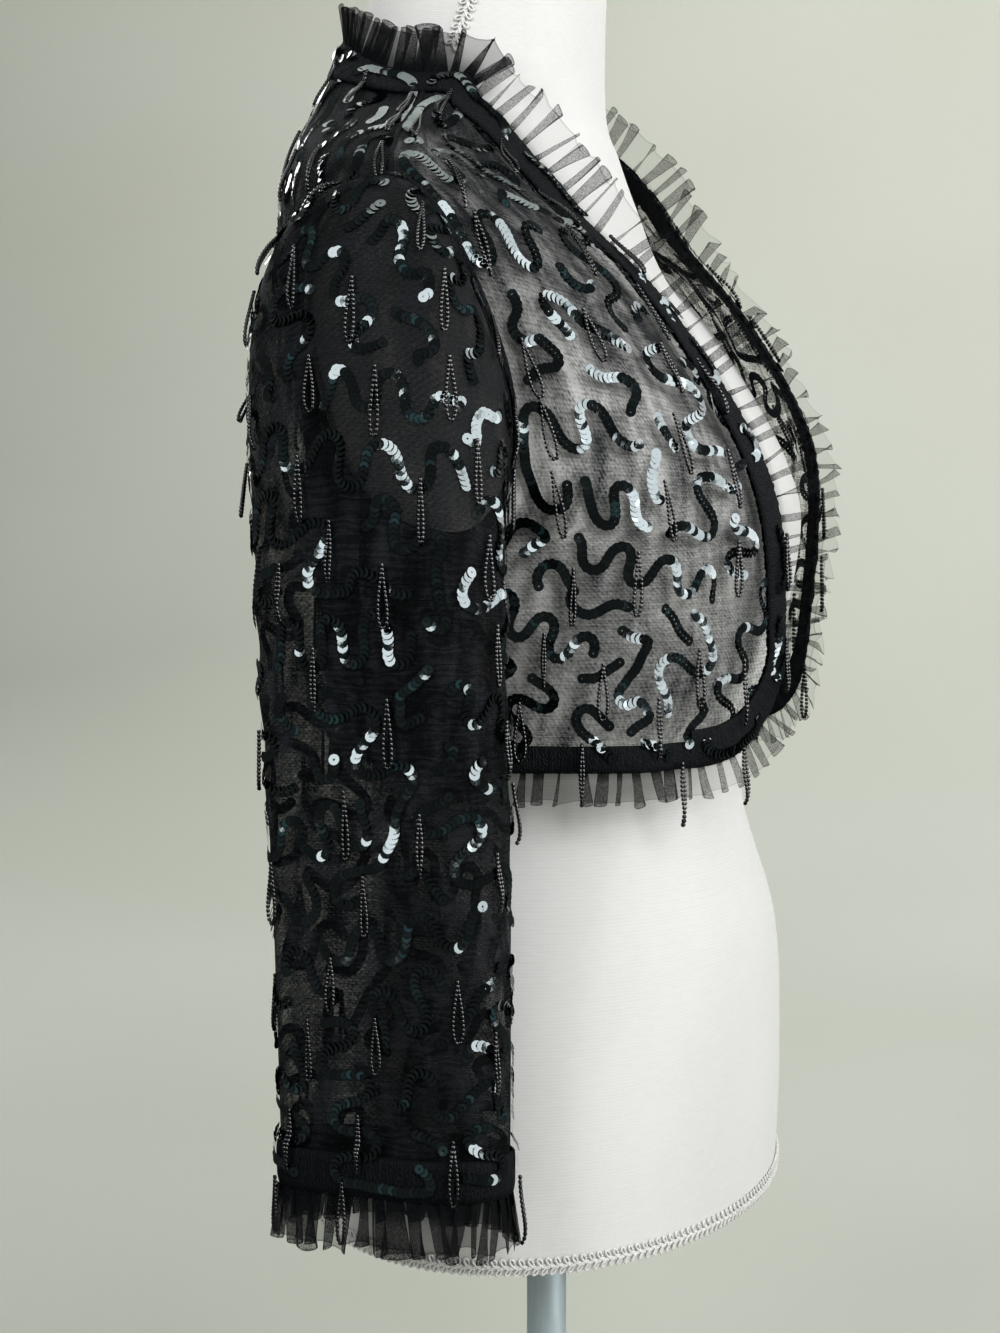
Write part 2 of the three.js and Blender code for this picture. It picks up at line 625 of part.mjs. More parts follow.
function edgeRuffle(from, to) {
  const steps = Math.round((to - from) / RUFFLE_PITCH) * POINTS_PER_WAVE;
  const frames = range(steps + 1).map((i) => {
    const frame = edgeFrame(from + ((to - from) * i) / steps);
    const { width, lean } = ruffleShape(frame);
    const run = frame.away.clone().multiplyScalar(Math.cos(lean));
    run.addScaledVector(frame.normal, Math.sin(lean));
    const across = frame.normal.clone().multiplyScalar(Math.cos(lean));
    across.addScaledVector(frame.away, -Math.sin(lean));
    const start = frame.point.addScaledVector(frame.away, RUFFLE_START);
    return { start, run, across, width, phase: wavePhase(i) };
  });
  return ruffle(frames, false);
}

function cuffRuffle(side) {
  const lean = degrees(CUFF_RUFFLE_LEAN);
  const steps = CUFF_WAVES * POINTS_PER_WAVE;
  const frames = range(steps).map((i) => {
    const turn = (2 * Math.PI * i) / steps;
    const out = sleeveNormal(turn, 2);
    const start = onSleeve(turn, 2, 0);
    start.z -= RUFFLE_START;
    const run = new THREE.Vector3(0, 0, -Math.cos(lean)).addScaledVector(out, Math.sin(lean));
    return { start, run, across: out, phase: wavePhase(i) };
  });
  const turned = frames.map((frame) => {
    const [start, run, across] = mirrored([[frame.start, frame.run, frame.across]], side)[0];
    return { start, run, across, width: CUFF_RUFFLE_WIDTH, phase: frame.phase };
  });
  return ruffle(turned, true);
}

// ---------- the dress form ----------

function formPoint(angle, station, lift) {
  const round = angle > Math.PI ? 2 * Math.PI - angle : angle;
  const point = onRing(FORM_RINGS, round, station);
  const inside = clamp(station, END_MARGIN, FORM_RINGS.length - 1 - END_MARGIN);
  point.addScaledVector(ringNormal(FORM_RINGS, round, inside), lift);
  if (angle > Math.PI) point.x *= -1;
  return point;
}

// A point over the torso's own flat faces, between the two rings of its mesh that lie about the station.
function onFormFace(angle, station, lift) {
  const above = Math.floor(station * FORM_STEPS_PER_RING) / FORM_STEPS_PER_RING;
  const below = above + 1 / FORM_STEPS_PER_RING;
  const share = (station - above) * FORM_STEPS_PER_RING;
  return formPoint(angle, above, lift).lerp(formPoint(angle, below, lift), share);
}

const FORM_ANGLES = range(FORM_COLUMNS).map((j) => (2 * Math.PI * j) / FORM_COLUMNS);
const FORM_BOTTOM_STATION = FORM_RINGS.length - 1;
const FORM_BOTTOM = FORM_RINGS.at(-1).side;

function torso() {
  const count = FORM_BOTTOM_STATION * FORM_STEPS_PER_RING;
  return stack(
    range(count + 1).map((i) => FORM_ANGLES.map((angle) => formPoint(angle, i / FORM_STEPS_PER_RING, 0))),
  );
}

// Braid along the form's bottom edge, on the faces of the torso's lowest rings.
function bottomBraid() {
  const last = FORM_RINGS.at(-2).side - FORM_BOTTOM;
  const top = FORM_BOTTOM_STATION - (BRAID_WIDTH + SEAM) / last;
  const stations = [top, FORM_BOTTOM_STATION - SEAM / last];
  const ring = (station, lift) => FORM_ANGLES.map((angle) => formPoint(angle, station, lift));
  const grid = (lift) => stations.map((station) => ring(station, lift));
  return wall(grid(2 * SEAM + BRAID_THICKNESS), grid(2 * SEAM), true);
}

// Braid up each side of the form's neck, on the faces of the neck rings.
function neckBraid(side) {
  const half = BRAID_WIDTH / 2 / FORM_RINGS[0].fore;
  const line = ({ station, angle }, lift) =>
    [-half, 0, half].map((turn) => onFormFace(degrees(angle) + turn, station, lift));
  const grid = (lift) => NECK_BRAID_LINE.map((place) => line(place, lift));
  return wall(mirrored(grid(2 * SEAM + BRAID_THICKNESS), side), mirrored(grid(2 * SEAM), side));
}

function pole() {
  const height = FORM_HEIGHT_ABOVE_FLOOR + FORM_BOTTOM - BASE_THICKNESS - 2 * SEAM;
  const rod = new THREE.CylinderGeometry(POLE_RADIUS, POLE_RADIUS, height, POLE_SIDES);
  const mesh = piece("form_pole", rod, "steel");
  mesh.rotation.x = degrees(90);
  mesh.position.z = BASE_THICKNESS + SEAM + height / 2;
  return mesh;
}

function base() {
  const edge = new THREE.Path();
  edge.moveTo(0, 0);
  edge.lineTo(BASE_RADIUS, 0);
  edge.lineTo(BASE_RADIUS, BASE_THICKNESS - BASE_EDGE_ROUNDING);
  edge.absarc(
    BASE_RADIUS - BASE_EDGE_ROUNDING, BASE_THICKNESS - BASE_EDGE_ROUNDING, BASE_EDGE_ROUNDING, 0, degrees(90),
  );
  edge.lineTo(0, BASE_THICKNESS);
  const disc = new THREE.LatheGeometry(edge.getPoints(BASE_ROUNDING_STEPS), BASE_SIDES);
  const mesh = piece("form_base", disc, "steel");
  mesh.rotation.x = degrees(90);
  return mesh;
}

// ---------- the whole ----------

const worn = new THREE.Group();
worn.position.z = FORM_HEIGHT_ABOVE_FLOOR;
worn.add(piece("form_torso", torso(), "linen"));
worn.add(piece("form_bottom_braid", bottomBraid(), "braid"));
worn.add(piece("back", backPanel(), "net"));
for (const side of Object.keys(SIDES)) {
  worn.add(piece(`form_neck_braid_${side}`, neckBraid(side), "braid"));
  worn.add(piece(`front_${side}`, frontPanel(side), "net"));
  worn.add(piece(`sleeve_${side}`, sleeveTube(side, SLEEVE_POSITIONS, CLOTH / 2, -CLOTH / 2), "net"));
  const under = CLOTH / 2 + BAND_LIFT;
  const cuff = sleeveTube(side, [CUFF_BAND_TOP, 2], under + BAND_THICKNESS, under);
  worn.add(piece(`cuff_band_${side}`, cuff, "binding"));
  worn.add(piece(`cuff_ruffle_${side}`, cuffRuffle(side), "ruffle"));
}
const [hemFrom, hemTo] = [HEM_FROM + SEAM, HEM_TO - SEAM];
const [frontFrom, frontTo] = [HEM_TO + SEAM - EDGE.length, HEM_FROM - SEAM];
worn.add(piece("hem_band", edgeBand(hemFrom, hemTo), "binding"));
worn.add(piece("hem_ruffle", edgeRuffle(hemFrom, hemTo), "ruffle"));
worn.add(piece("front_and_neck_band", edgeBand(frontFrom, frontTo), "binding"));
worn.add(piece("front_and_neck_ruffle", edgeRuffle(frontFrom, frontTo), "ruffle"));

const cardigan = new THREE.Group();
cardigan.add(base(), pole(), worn);

export default cardigan;
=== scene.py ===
"""A cropped cardigan of sheer black net, sewn with sequins and hanging bead loops, worn open on a dress form.

Laid out as a Blender add-on, and run as a script. Shapes are worked out in millimetres with +Z up and the
wearer facing -Y, then stored in metres. Torso and cloth are swept through rings. A place on the cloth has an
angle, from the front centre (0) past the wearer's right side (a quarter turn), the back (half a turn) and the
left side (three quarters), and a station that runs down the rings.
"""

import json
import math

import bpy
import numpy as np
from mathutils import Matrix, Vector

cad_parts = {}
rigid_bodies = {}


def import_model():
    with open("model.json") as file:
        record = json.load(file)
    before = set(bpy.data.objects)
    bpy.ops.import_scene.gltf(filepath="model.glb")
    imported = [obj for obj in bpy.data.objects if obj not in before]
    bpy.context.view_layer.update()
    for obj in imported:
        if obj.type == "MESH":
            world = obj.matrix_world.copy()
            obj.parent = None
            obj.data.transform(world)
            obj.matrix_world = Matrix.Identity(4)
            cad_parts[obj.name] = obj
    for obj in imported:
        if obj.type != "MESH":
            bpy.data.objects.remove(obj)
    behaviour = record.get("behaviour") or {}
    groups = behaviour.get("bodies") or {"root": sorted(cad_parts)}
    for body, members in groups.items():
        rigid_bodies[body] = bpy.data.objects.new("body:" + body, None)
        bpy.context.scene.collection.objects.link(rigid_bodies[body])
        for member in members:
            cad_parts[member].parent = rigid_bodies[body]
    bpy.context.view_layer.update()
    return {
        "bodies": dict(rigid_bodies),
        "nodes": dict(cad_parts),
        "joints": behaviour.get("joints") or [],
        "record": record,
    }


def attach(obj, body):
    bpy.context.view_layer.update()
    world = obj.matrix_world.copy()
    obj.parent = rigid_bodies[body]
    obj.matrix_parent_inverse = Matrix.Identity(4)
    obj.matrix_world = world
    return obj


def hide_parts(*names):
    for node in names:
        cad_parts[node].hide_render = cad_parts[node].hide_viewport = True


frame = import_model()

bl_info = {
    "name": "Cropped cardigan on a dress form",
    "version": (1, 0, 0),
    "blender": (4, 5, 0),
    "location": "3D View > Sidebar > Cardigan",
    "description": "Makes the net, ruffles, sequins, bead loops, dress form and studio",
    "category": "Object",
}

# ---------- dimensions of the patterns, in millimetres ----------

MM = 0.001
QUARTER, HALF, TURN = math.pi / 2, math.pi, 2 * math.pi
WORN_HEIGHT = 280.0  # floor to the zero level of the rings

# Columns: height at the side, front and back; half width; middle behind the pole; depth in front of and behind
# the middle; how much the front is drawn in.
FORM_RINGS = np.array([
    (690, 690, 690, 56, 24, 57, 55, 0),
    (640, 634, 648, 58, 32, 62, 60, 0),
    (588, 570, 618, 63, 40, 70, 63, 0.15),
    (563, 546, 597, 88, 41, 78, 68, 0.42),
    (549, 520, 573, 118, 38, 84, 78, 0.55),
    (534, 482, 543, 148, 35, 96, 89, 0.42),
    (515, 445, 505, 168, 30, 117, 99, 0.08),
    (468, 412, 455, 173, 22, 132, 104, -0.05),
    (410, 382, 405, 163, 12, 139, 108, -0.15),
    (350, 350, 350, 152, 4, 139, 114, -0.2),
    (292, 292, 292, 138, 0, 126, 106, -0.1),
    (215, 215, 215, 123, 0, 105, 92, 0),
    (135, 135, 135, 156, 0, 124, 112, 0),
    (60, 60, 60, 174, 0, 127, 122, 0),
    (-6, -6, -6, 177, 0, 125, 122, 0),
])
CLOTH_RINGS = np.vstack([FORM_RINGS[:9], [
    (350, 350, 350, 153, 4, 138, 114, -0.2),
    (292, 292, 292, 150, 2, 136, 110, -0.15),
    (236, 236, 236, 146, 0, 132, 106, -0.1),
    (180, 180, 180, 144, 0, 130, 104, -0.1),
]])
NECK_BRAID_LINE = np.array([(0.05, 75), (0.5, 77), (1, 80), (1.5, 83), (1.8, 86)])  # station, angle

NECK, SHOULDER_TIP, UNDERARM, CORNER, HEM = 2.35, 6.0, 9.0, 10.0, 11.0  # stations where the cut changes
CORNER_RADIUS = 62.0
ARMHOLE_FRONT, ARMHOLE_BACK = math.radians(14.5), math.radians(37)

# Each front's free edge: station, distance from the centre line, and how far it stands off the form.
RIGHT_EDGE = np.array([
    (2.35, 67, 6), (3, 79, 7), (4, 83, 8), (5, 83, 8), (6, 81, 8),
    (7, 75, 8), (8, 66, 8), (9, 56, 8), (10, 43, 6), (11, 43, 5),
])
LEFT_EDGE = np.array([
    (2.35, 68, 7), (3, 64, 12), (4, 60, 18), (5, 59, 19), (6, 60, 18),
    (7, 62, 17), (8, 63, 15), (9, 62, 10), (10, 58, 6), (11, 58, 5),
])
EASE, STAND_OFF_REACH, FOLD_FADE = 4.0, 45.0, 25.0  # off the form; how far in the edge's stand and the folds fade
NET_MIDDLE = 0.6  # the net lies in the middle of its panels' walls
# A front's long folds: inset, height, half width, and the stations between which they stand.
FRONT_FOLDS = ((46, 4, 12, 4.2, 8), (78, 3, 13, 5.4, 9.4), (100, 2.5, 14, 8.8, 12))

# The hanging sleeve's rings: height, middle across, middle front to back, half thickness, half width.
SLEEVE_RINGS = np.array([(48, -210, 17, 22, 54), (180, -207, 20, 24.5, 56), (325, -205, 25, 27, 58)])
SLEEVE_TOP, SLEEVE_END = 325.0, 48.0
SLEEVE_FLATNESS = 0.8
# Its upright folds: middle and half width in degrees, height, and how far along they start and end.
SLEEVE_FOLDS = ((36, 20, 3, 0.35, 1.8), (-54, 20, 3.5, 0.5, 2.4), (126, 22, 2.5, 0.9, 2.4))
# How strongly the sleeve's head leaves the armhole outwards and away from its middle, at its top and behind
# too, and how strongly it comes down into the hanging part.
CAP_OUT, CAP_OUT_TOP, CAP_ROUND, CAP_ROUND_BACK, CAP_DROP, CAP_DOWN, CAP_DOWN_TOP = 35, 75, 15, 75, 10, 60, 190
ARMHOLE_INSET, ARMHOLE_LIFT = 1.2, 1.5  # the sleeve's top starts this far inside the armhole and off the cloth
CUFF_BAND = 20.0

# The bindings' sections: inset from the edge, or share of the cuff band above it, and lift off the net, from
# the outer leaf round the edge.
BINDING_SECTION = (
    (13.0, 1.0), (12.7, 1.9), (11.0, 2.3), (8.0, 2.5), (5.0, 2.6), (2.5, 2.4), (0.6, 1.8), (-0.6, 0.6),
    (0.4, -0.6), (3.0, -1.0), (8.0, -1.0), (12.6, -0.7),
)
CUFF_SECTION = (
    (1, 0.9), (0.97, 2.0), (0.8, 2.3), (0.5, 2.4), (0.2, 2.3), (0.02, 1.7), (0, 0.4), (0.02, -0.8), (0.5, -1.0),
)
FRONT_BINDING_DEPTH, HEM_BINDING_DEPTH = 1.45, 1.0  # times the section's inset
BINDING_STEP, CUFF_STEPS = 1.3, 220
OVER_BINDING, OVER_CUFF, BINDING_INSIDE = 2.7, 2.5, (12, 16)  # the trimmings' rise over the bindings, and where
RUFFLE_START = -0.5  # from the cloth's edge, hidden in the binding
# The ruffle: station, width, lean of the right and of the left front's, in degrees.
RUFFLE_SHAPE = np.array([
    (2.35, 22, 45, 40), (4, 24, 60, 42), (6, 24, 60, 32), (8, 24, 56, 20),
    (9, 24, 52, 18), (10, 21, 36, 20), (11, 16, 14, 14),
])
BACK_NECK_WIDTH, BACK_NECK_LEAN = 18.0, 22.0
CUFF_RUFFLE_WIDTH, CUFF_RUFFLE_LEAN, CUFF_PLEATS = 25.0, 6.0, 40
PLEAT_STEPS, PLEAT_ROWS = 18, 9  # points along one pleat, and from its gathers to its free edge

# Trimmings stay clear of seams, edges and the back's edges by these.
SEAM_MARGIN, EDGE_MARGIN, BACK_MARGIN = 3, 3, 4
CALM_STATION = 5.3  # above it, on the shoulders, the lines of sequins run nearly straight down
LINE_STEP, LINE_TRIES, LINE_POINTS, LEAST_POINTS = 3.2, 1600, (30, 90), 8  # how a sequin line is walked
SEQUIN_SIDES, SEQUIN_HOLE, SEQUIN_CUP, SEQUIN_LIFT = 10, 0.5, 0.05, 0.9  # the hole's radius, the rim's rise
# A sequin's lean forwards and how it drifts, its drifting lean aside, the length of these drifts, and the
# random lean, all in shares of its normal.
SEQUIN_TILT, SEQUIN_TILT_DRIFT, SEQUIN_ROLL, TILT_REACH, SEQUIN_JITTER = 0.2, 0.06, 0.12, 55, 0.045
BEADS, BEAD_LIFT, LOOP_TRIES = 30, 2.3, 900
LOOP_LENGTH, LOOP_HALF_WIDTH, LOOP_TWIST = (0.88, 1.12), (1.1, 2.9), 0.035  # length as a share of the drop

# The braid's cords: how far they swing out, how far inside the middle they start, how far they slip forwards,
# how much of the swing they slant by, their height off the cover and how much they rise to cross.
BRAID_PITCH, BRAID_STEPS = 4.4, 18
BRAID_SWING, BRAID_INSIDE, BRAID_SLIP, BRAID_SLANT, BRAID_HEIGHT, BRAID_RISE = 2.35, 0.7, 2.1, 0.45, 0.9, 0.45
BOTTOM_BRAID_UP = 8.0
POLE_RADIUS, POLE_TOP = 11, 273.5
BASE_RADIUS, BASE_HEIGHT, BASE_ROUND = 170, 14, 5

MIRROR = np.array([-1.0, 1, 1])  # takes a point of the wearer's right side to the left
SIDES = (("right", np.ones(3)), ("left", MIRROR))

# ---------- curves and small helpers ----------


def smooth(value, start, end):
    """0 before start, 1 after end, and a smooth S between them."""
    t = np.clip((value - start) / (end - start), 0, 1)
    return t * t * (3 - 2 * t)


def bump(offset, half):
    """A bell of height 1: e to the minus square of offset over half."""
    return np.exp(-((offset / half) ** 2))


def between(value, start, end, fade):
    """1 from start to end, fading to 0 over fade outside them."""
    return smooth(value, start - fade, start) * (1 - smooth(value, end, end + fade))


def unit(vectors):
    """Each vector divided by its length."""
    return vectors / np.maximum(np.linalg.norm(vectors, axis=-1, keepdims=True), 1e-9)


def dot(a, b):
    """The inner product along the last axis, kept as an axis of one."""
    return np.sum(a * b, axis=-1, keepdims=True)


def drift(place, seed, spacing):
    """A smooth random value from about -1 to 1: four sines of random phase, longer and shorter than spacing."""
    rng = np.random.default_rng(seed)
    total = 0
    for stretch in (2.7, 1.6, 1.0, 0.62):
        total = total + np.sin(TURN * place / (spacing * stretch) + rng.uniform(0, TURN))
    return total / 2.2


def lengths_along(points):
    """Distance along a line of points, from its first point."""
    steps = np.linalg.norm(np.diff(points, axis=0), axis=1)
    return np.concatenate([[0], np.cumsum(steps)])


def headings_along(line):
    """The direction along a line at each point, and whether the line comes back to its start."""
    ahead = unit(np.gradient(line, axis=0))
    comes_back = np.allclose(line[0], line[-1])
    if comes_back:
        ahead[0] = ahead[-1] = unit(ahead[0] + ahead[-1])
    return ahead, comes_back


def read_along(at, run, values):
    """Three columns of values given at the distances run, read at other distances."""
    return np.stack([np.interp(at, run, values[:, c]) for c in range(3)], -1)


# ---------- ring surfaces ----------


def ring_at(rings, station):
    """All columns of a ring table at a station, on a Catmull-Rom curve through the rings."""
    station = np.asarray(station, float)
    whole = np.clip(np.floor(station), 0, len(rings) - 2).astype(int)
    t = (station - whole)[..., None]
    a, b, c, d = (rings[np.clip(whole + k, 0, len(rings) - 1)] for k in (-1, 0, 1, 2))
    return 0.5 * (2 * b + (c - a) * t + (2 * a - 5 * b + 4 * c - d) * t**2 + (3 * b - a - 3 * c + d) * t**3)


def on_ring(rings, angle, station):
    """A ring's point: across is minus half width times sine; front to back is the middle less a depth times
    cosine, drawn in by its cube in front; the height moves from the side's to the front's or back's with
    cosine squared."""
    angle, station = np.broadcast_arrays(np.asarray(angle, float), np.asarray(station, float))
    ring = ring_at(rings, station)
    side, front, back, half, middle, fore, aft, drawn = np.moveaxis(ring, -1, 0)
    cos = np.cos(angle)
    reach = np.where(cos >= 0, fore * (cos * (1 - drawn) + drawn * cos**3), aft * cos)
    rise = (np.where(cos >= 0, front, back) - side) * cos**2
    return np.stack([-half * np.sin(angle), middle - reach, side + rise], -1)


def ring_normal(rings, angle, station):
    """The outward normal: the step round the ring crossed with the step down the rings."""
    step = 1e-3
    round_it = on_ring(rings, angle + step, station) - on_ring(rings, angle - step, station)
    down = on_ring(rings, angle, station + step) - on_ring(rings, angle, station - step)
    return unit(np.cross(round_it, down))


def from_front(angle):
    """An angle's distance from the front centre, up to half a turn, and whether it is on the left side."""
    angle = np.mod(angle, TURN)
    left = angle > HALF
    return np.where(left, TURN - angle, angle), left


def edge_column(left, station, column):
    """A column of the free edge's table on the side that is asked for."""
    right_value = np.interp(station, RIGHT_EDGE[:, 0], RIGHT_EDGE[:, column])
    left_value = np.interp(station, LEFT_EDGE[:, 0], LEFT_EDGE[:, column])
    return np.where(left, left_value, right_value)


def edge_angle(left, station):
    """The angle from the front centre at which a front ends; below the corner station it rounds into the hem."""
    station = np.asarray(station, float)
    corner = np.clip(station - CORNER, 0, 1)
    gap = edge_column(left, station, 1) + CORNER_RADIUS * (1 - np.sqrt(1 - corner**2))
    return np.arcsin(np.minimum(gap / ring_at(CLOTH_RINGS, station)[..., 3], 0.9986))


def small_folds(angle, station):
    """Shallow wrinkles: slanting waves round the body that deepen towards the hem, and short ones at the bust."""
    hang = 0.9 * np.sin(13 * angle + 1.3 * np.sin(2.3 * station)) * smooth(station, 8, 11)
    pulled = 0.5 * np.sin(31 * angle + 5 * station) * between(station, 5.5, 9.5, 1)
    return hang + pulled


def cloth_stand(angle, station):
    """How far the cloth stands off its ring: ease, a bell at the standing free edge, and the long folds."""
    a, left = from_front(angle)
    half = ring_at(CLOTH_RINGS, station)[..., 3]
    inset = (a - edge_angle(left, np.clip(station, NECK, CORNER))) * half
    edge = (edge_column(left, station, 2) - EASE) * bump(inset, STAND_OFF_REACH)
    before_side = (QUARTER - a) * half
    folded = 0
    for place, height, width, start, end in FRONT_FOLDS:
        folded = folded + height * bump(inset - place, width) * between(station, start, end, 0.9)
    wrinkles = small_folds(angle, station) * smooth(inset, 8, 30)
    return EASE + edge + folded * smooth(before_side, 0, FOLD_FADE) + wrinkles


def on_body(angle, station, lift=0.0):
    """A point of the body's net, lift outside its middle: the ring's point moved out along its normal."""
    angle, station = np.broadcast_arrays(np.asarray(angle, float), np.asarray(station, float))
    normal = ring_normal(CLOTH_RINGS, angle, station)
    away = cloth_stand(angle, station) + NET_MIDDLE + lift
    return on_ring(CLOTH_RINGS, angle, station) + normal * away[..., None]


def armhole_reach(station, widest):
    """Half the armhole's width as an angle: an ellipse between the shoulder tip and the underarm."""
    share = np.clip((station - SHOULDER_TIP) / (UNDERARM - SHOULDER_TIP), 0, 1)
    return widest * np.sqrt(1 - (2 * share - 1) ** 2)


def front_to(station):
    """The angle from the front centre at which a front meets the armhole or the side seam."""
    return QUARTER - armhole_reach(station, ARMHOLE_FRONT)


def back_from(station):
    """The same for the back."""
    return QUARTER + armhole_reach(station, ARMHOLE_BACK)


# ---------- the sleeve's surface ----------


def on_armhole(turn, lift=0.0):
    """A point of the armhole's ellipse: turn 0 is its top, a quarter its front, half the underarm."""
    station = SHOULDER_TIP + (UNDERARM - SHOULDER_TIP) * (1 - np.cos(turn)) / 2
    reach = np.where(np.sin(turn) >= 0, ARMHOLE_FRONT, ARMHOLE_BACK)
    angle = QUARTER - np.sin(turn) * reach
    normal = ring_normal(CLOTH_RINGS, angle, station)
    point = on_ring(CLOTH_RINGS, angle, station)
    stand = cloth_stand(angle, station) - small_folds(angle, station)
    return point + normal * (stand + lift)[..., None], normal


def on_sleeve_ring(turn, height):
    """A flattened tube: across is the middle less thickness times a power of cosine, and front to back is the
    middle less width times sine."""
    rows = [np.interp(height, SLEEVE_RINGS[:, 0], SLEEVE_RINGS[:, k]) for k in (1, 2, 3, 4)]
    cos = np.cos(turn)
    flat = np.sign(cos) * np.abs(cos) ** SLEEVE_FLATNESS
    return np.stack([rows[0] - rows[2] * flat, rows[1] - rows[3] * np.sin(turn), height], -1)


def sleeve_middle(turn, along):
    """The sleeve's cloth: along 0 to 1 is a Hermite curve from the armhole, which it leaves squarely, to the
    underarm level; 1 to 2 hangs down to the cuff."""
    turn, along = np.broadcast_arrays(np.asarray(turn, float), np.asarray(along, float))
    point, normal = on_armhole(turn, ARMHOLE_LIFT)
    centre = on_armhole(np.array(0.0), 0.0)[0] * 0.5 + on_armhole(np.array(HALF), 0.0)[0] * 0.5
    spoke = point - centre
    spoke = unit(spoke - normal * dot(spoke, normal))
    point = point - spoke * ARMHOLE_INSET
    top = ((1 + np.cos(turn)) / 2)[..., None]
    behind = np.maximum(0, -np.sin(turn))[..., None]
    leave = normal * (CAP_OUT + CAP_OUT_TOP * top) + spoke * (CAP_ROUND + CAP_ROUND_BACK * behind)
    leave = leave + np.array([0, 0, -CAP_DROP])
    arrive = np.array([0, 0, -1.0]) * (CAP_DOWN + CAP_DOWN_TOP * top)
    t = np.clip(along, 0, 1)[..., None]
    level = on_sleeve_ring(turn, np.full(turn.shape, SLEEVE_TOP))
    cap = point * (2 * t**3 - 3 * t**2 + 1) + leave * (t**3 - 2 * t**2 + t)
    cap = cap + level * (3 * t**2 - 2 * t**3) + arrive * (t**3 - t**2)
    height = SLEEVE_TOP + (SLEEVE_END - SLEEVE_TOP) * (along - 1)
    return np.where((along > 1)[..., None], on_sleeve_ring(turn, height), cap)


def on_sleeve(turn, along, lift=0.0):
    """A point of the right sleeve's net: its middle moved along the normal by the upright folds, by shallow
    waves round the arm and by creases at the elbow."""
    turn, along = np.broadcast_arrays(np.asarray(turn, float), np.asarray(along, float))
    step = 0.02
    early = np.minimum(along, 2 - step)
    round_it = sleeve_middle(turn + step, early) - sleeve_middle(turn - step, early)
    down = sleeve_middle(turn, early + step) - sleeve_middle(turn, early)
    normal = unit(np.cross(down, round_it))
    raised = lift + 0.0 * turn
    for middle, half, height, start, end in SLEEVE_FOLDS:
        off = turn - math.radians(middle)
        away = np.arctan2(np.sin(off), np.cos(off))
        raised = raised + height * bump(away, math.radians(half)) * between(along, start, end, 0.35)
    raised = raised + 0.7 * np.sin(9 * turn + 2 * np.sin(3 * along)) * between(along, 0.4, 1.85, 0.3)
    raised = raised + 0.9 * np.sin(38 * along + 3 * np.cos(turn)) * bump(along - 1.1, 0.3)
    return sleeve_middle(turn, along) + normal * raised[..., None]


def mirrored(surface):
    """A surface of the wearer's right side, on the left."""
    return lambda u, v, lift=0.0: surface(u, v, lift) * MIRROR


def surface_normal(surface, u, v, outward):
    """The cross product of a surface's two small steps, turned by outward (1 or -1)."""
    step = 2e-3
    across = surface(u + step, v) - surface(u - step, v)
    down = surface(u, v + step) - surface(u, v - step)
    return unit(np.cross(across, down)) * outward


# ---------- meshes ----------


def put_mesh(name, points, faces, material, uvs=None, shade=True, raised=True):
    """A mesh from points in millimetres, and faces and their corners' UVs as lists of arrays."""
    mesh = bpy.data.meshes.new(name)
    height = np.array([0, 0, WORN_HEIGHT]) if raised else 0
    mesh.vertices.add(len(points))
    mesh.vertices.foreach_set("co", ((points + height) * MM).astype(np.float32).ravel())
    sizes = np.concatenate([np.full(len(f), f.shape[1]) for f in faces])
    corners = np.concatenate([f.ravel() for f in faces])
    mesh.loops.add(len(corners))
    mesh.loops.foreach_set("vertex_index", corners.astype(np.int32))
    mesh.polygons.add(len(sizes))
    mesh.polygons.foreach_set("loop_start", (np.cumsum(sizes) - sizes).astype(np.int32))
    mesh.polygons.foreach_set("use_smooth", np.full(len(sizes), shade))
    if uvs is not None:
        layer = mesh.uv_layers.new(name="cloth")
        layer.uv.foreach_set("vector", np.concatenate([u.reshape(-1, 2) for u in uvs]).astype(np.float32).ravel())
    mesh.update(calc_edges=True)
    mesh.validate()
    mesh.materials.append(material)
    piece = bpy.data.objects.new(name, mesh)
    bpy.context.scene.collection.objects.link(piece)
    return piece


def grid_faces(rows, columns, joined, flip):
    """Quads of a grid of points, and each corner's row and column; a joined grid's last column meets its
    first, whose corners then count as one more column."""
    i, j = np.meshgrid(np.arange(rows - 1), np.arange(columns if joined else columns - 1), indexing="ij")
    row = np.stack([i, i + 1, i + 1, i], -1).reshape(-1, 4)
    column = np.stack([j, j, j + 1, j + 1], -1).reshape(-1, 4)
    if flip:
        row, column = row[:, ::-1], column[:, ::-1]
    return row * columns + column % columns, row, column


def grid_piece(name, points, material, size=None, joined=False, flip=False, lids=False, places=None, raised=True):
    """A surface through a grid of points. Its UVs run over size, the real width and length in millimetres,
    across the columns and down the rows, or are the grid of places that is given; without either it has none.
    lids closes both ends of a joined grid with fans."""
    rows, columns = points.shape[:2]
    quads, row, column = grid_faces(rows, columns, joined, flip)
    uvs = None
    if size is not None:
        last = columns if joined else columns - 1
        uvs = [np.stack([column * size[0] / last, row * size[1] / (rows - 1)], -1)]
    if places is not None:
        uvs = [places.reshape(-1, 2)[quads]]
    flat = points.reshape(-1, 3)
    faces = [quads]
    if lids:
        ring = np.arange(columns)
        for start, turned in ((0, flip), ((rows - 1) * columns, not flip)):
            hub = np.full(columns, len(flat))
            flat = np.vstack([flat, flat[start + ring].mean(axis=0)])
            fan = np.stack([hub, start + (ring + 1) % columns, start + ring], -1)
            faces.append(fan if turned else fan[:, ::-1])
            if uvs:
                uvs.append(flat[faces[-1]][..., :2])
    return put_mesh(name, flat, faces, material, uvs, raised=raised)


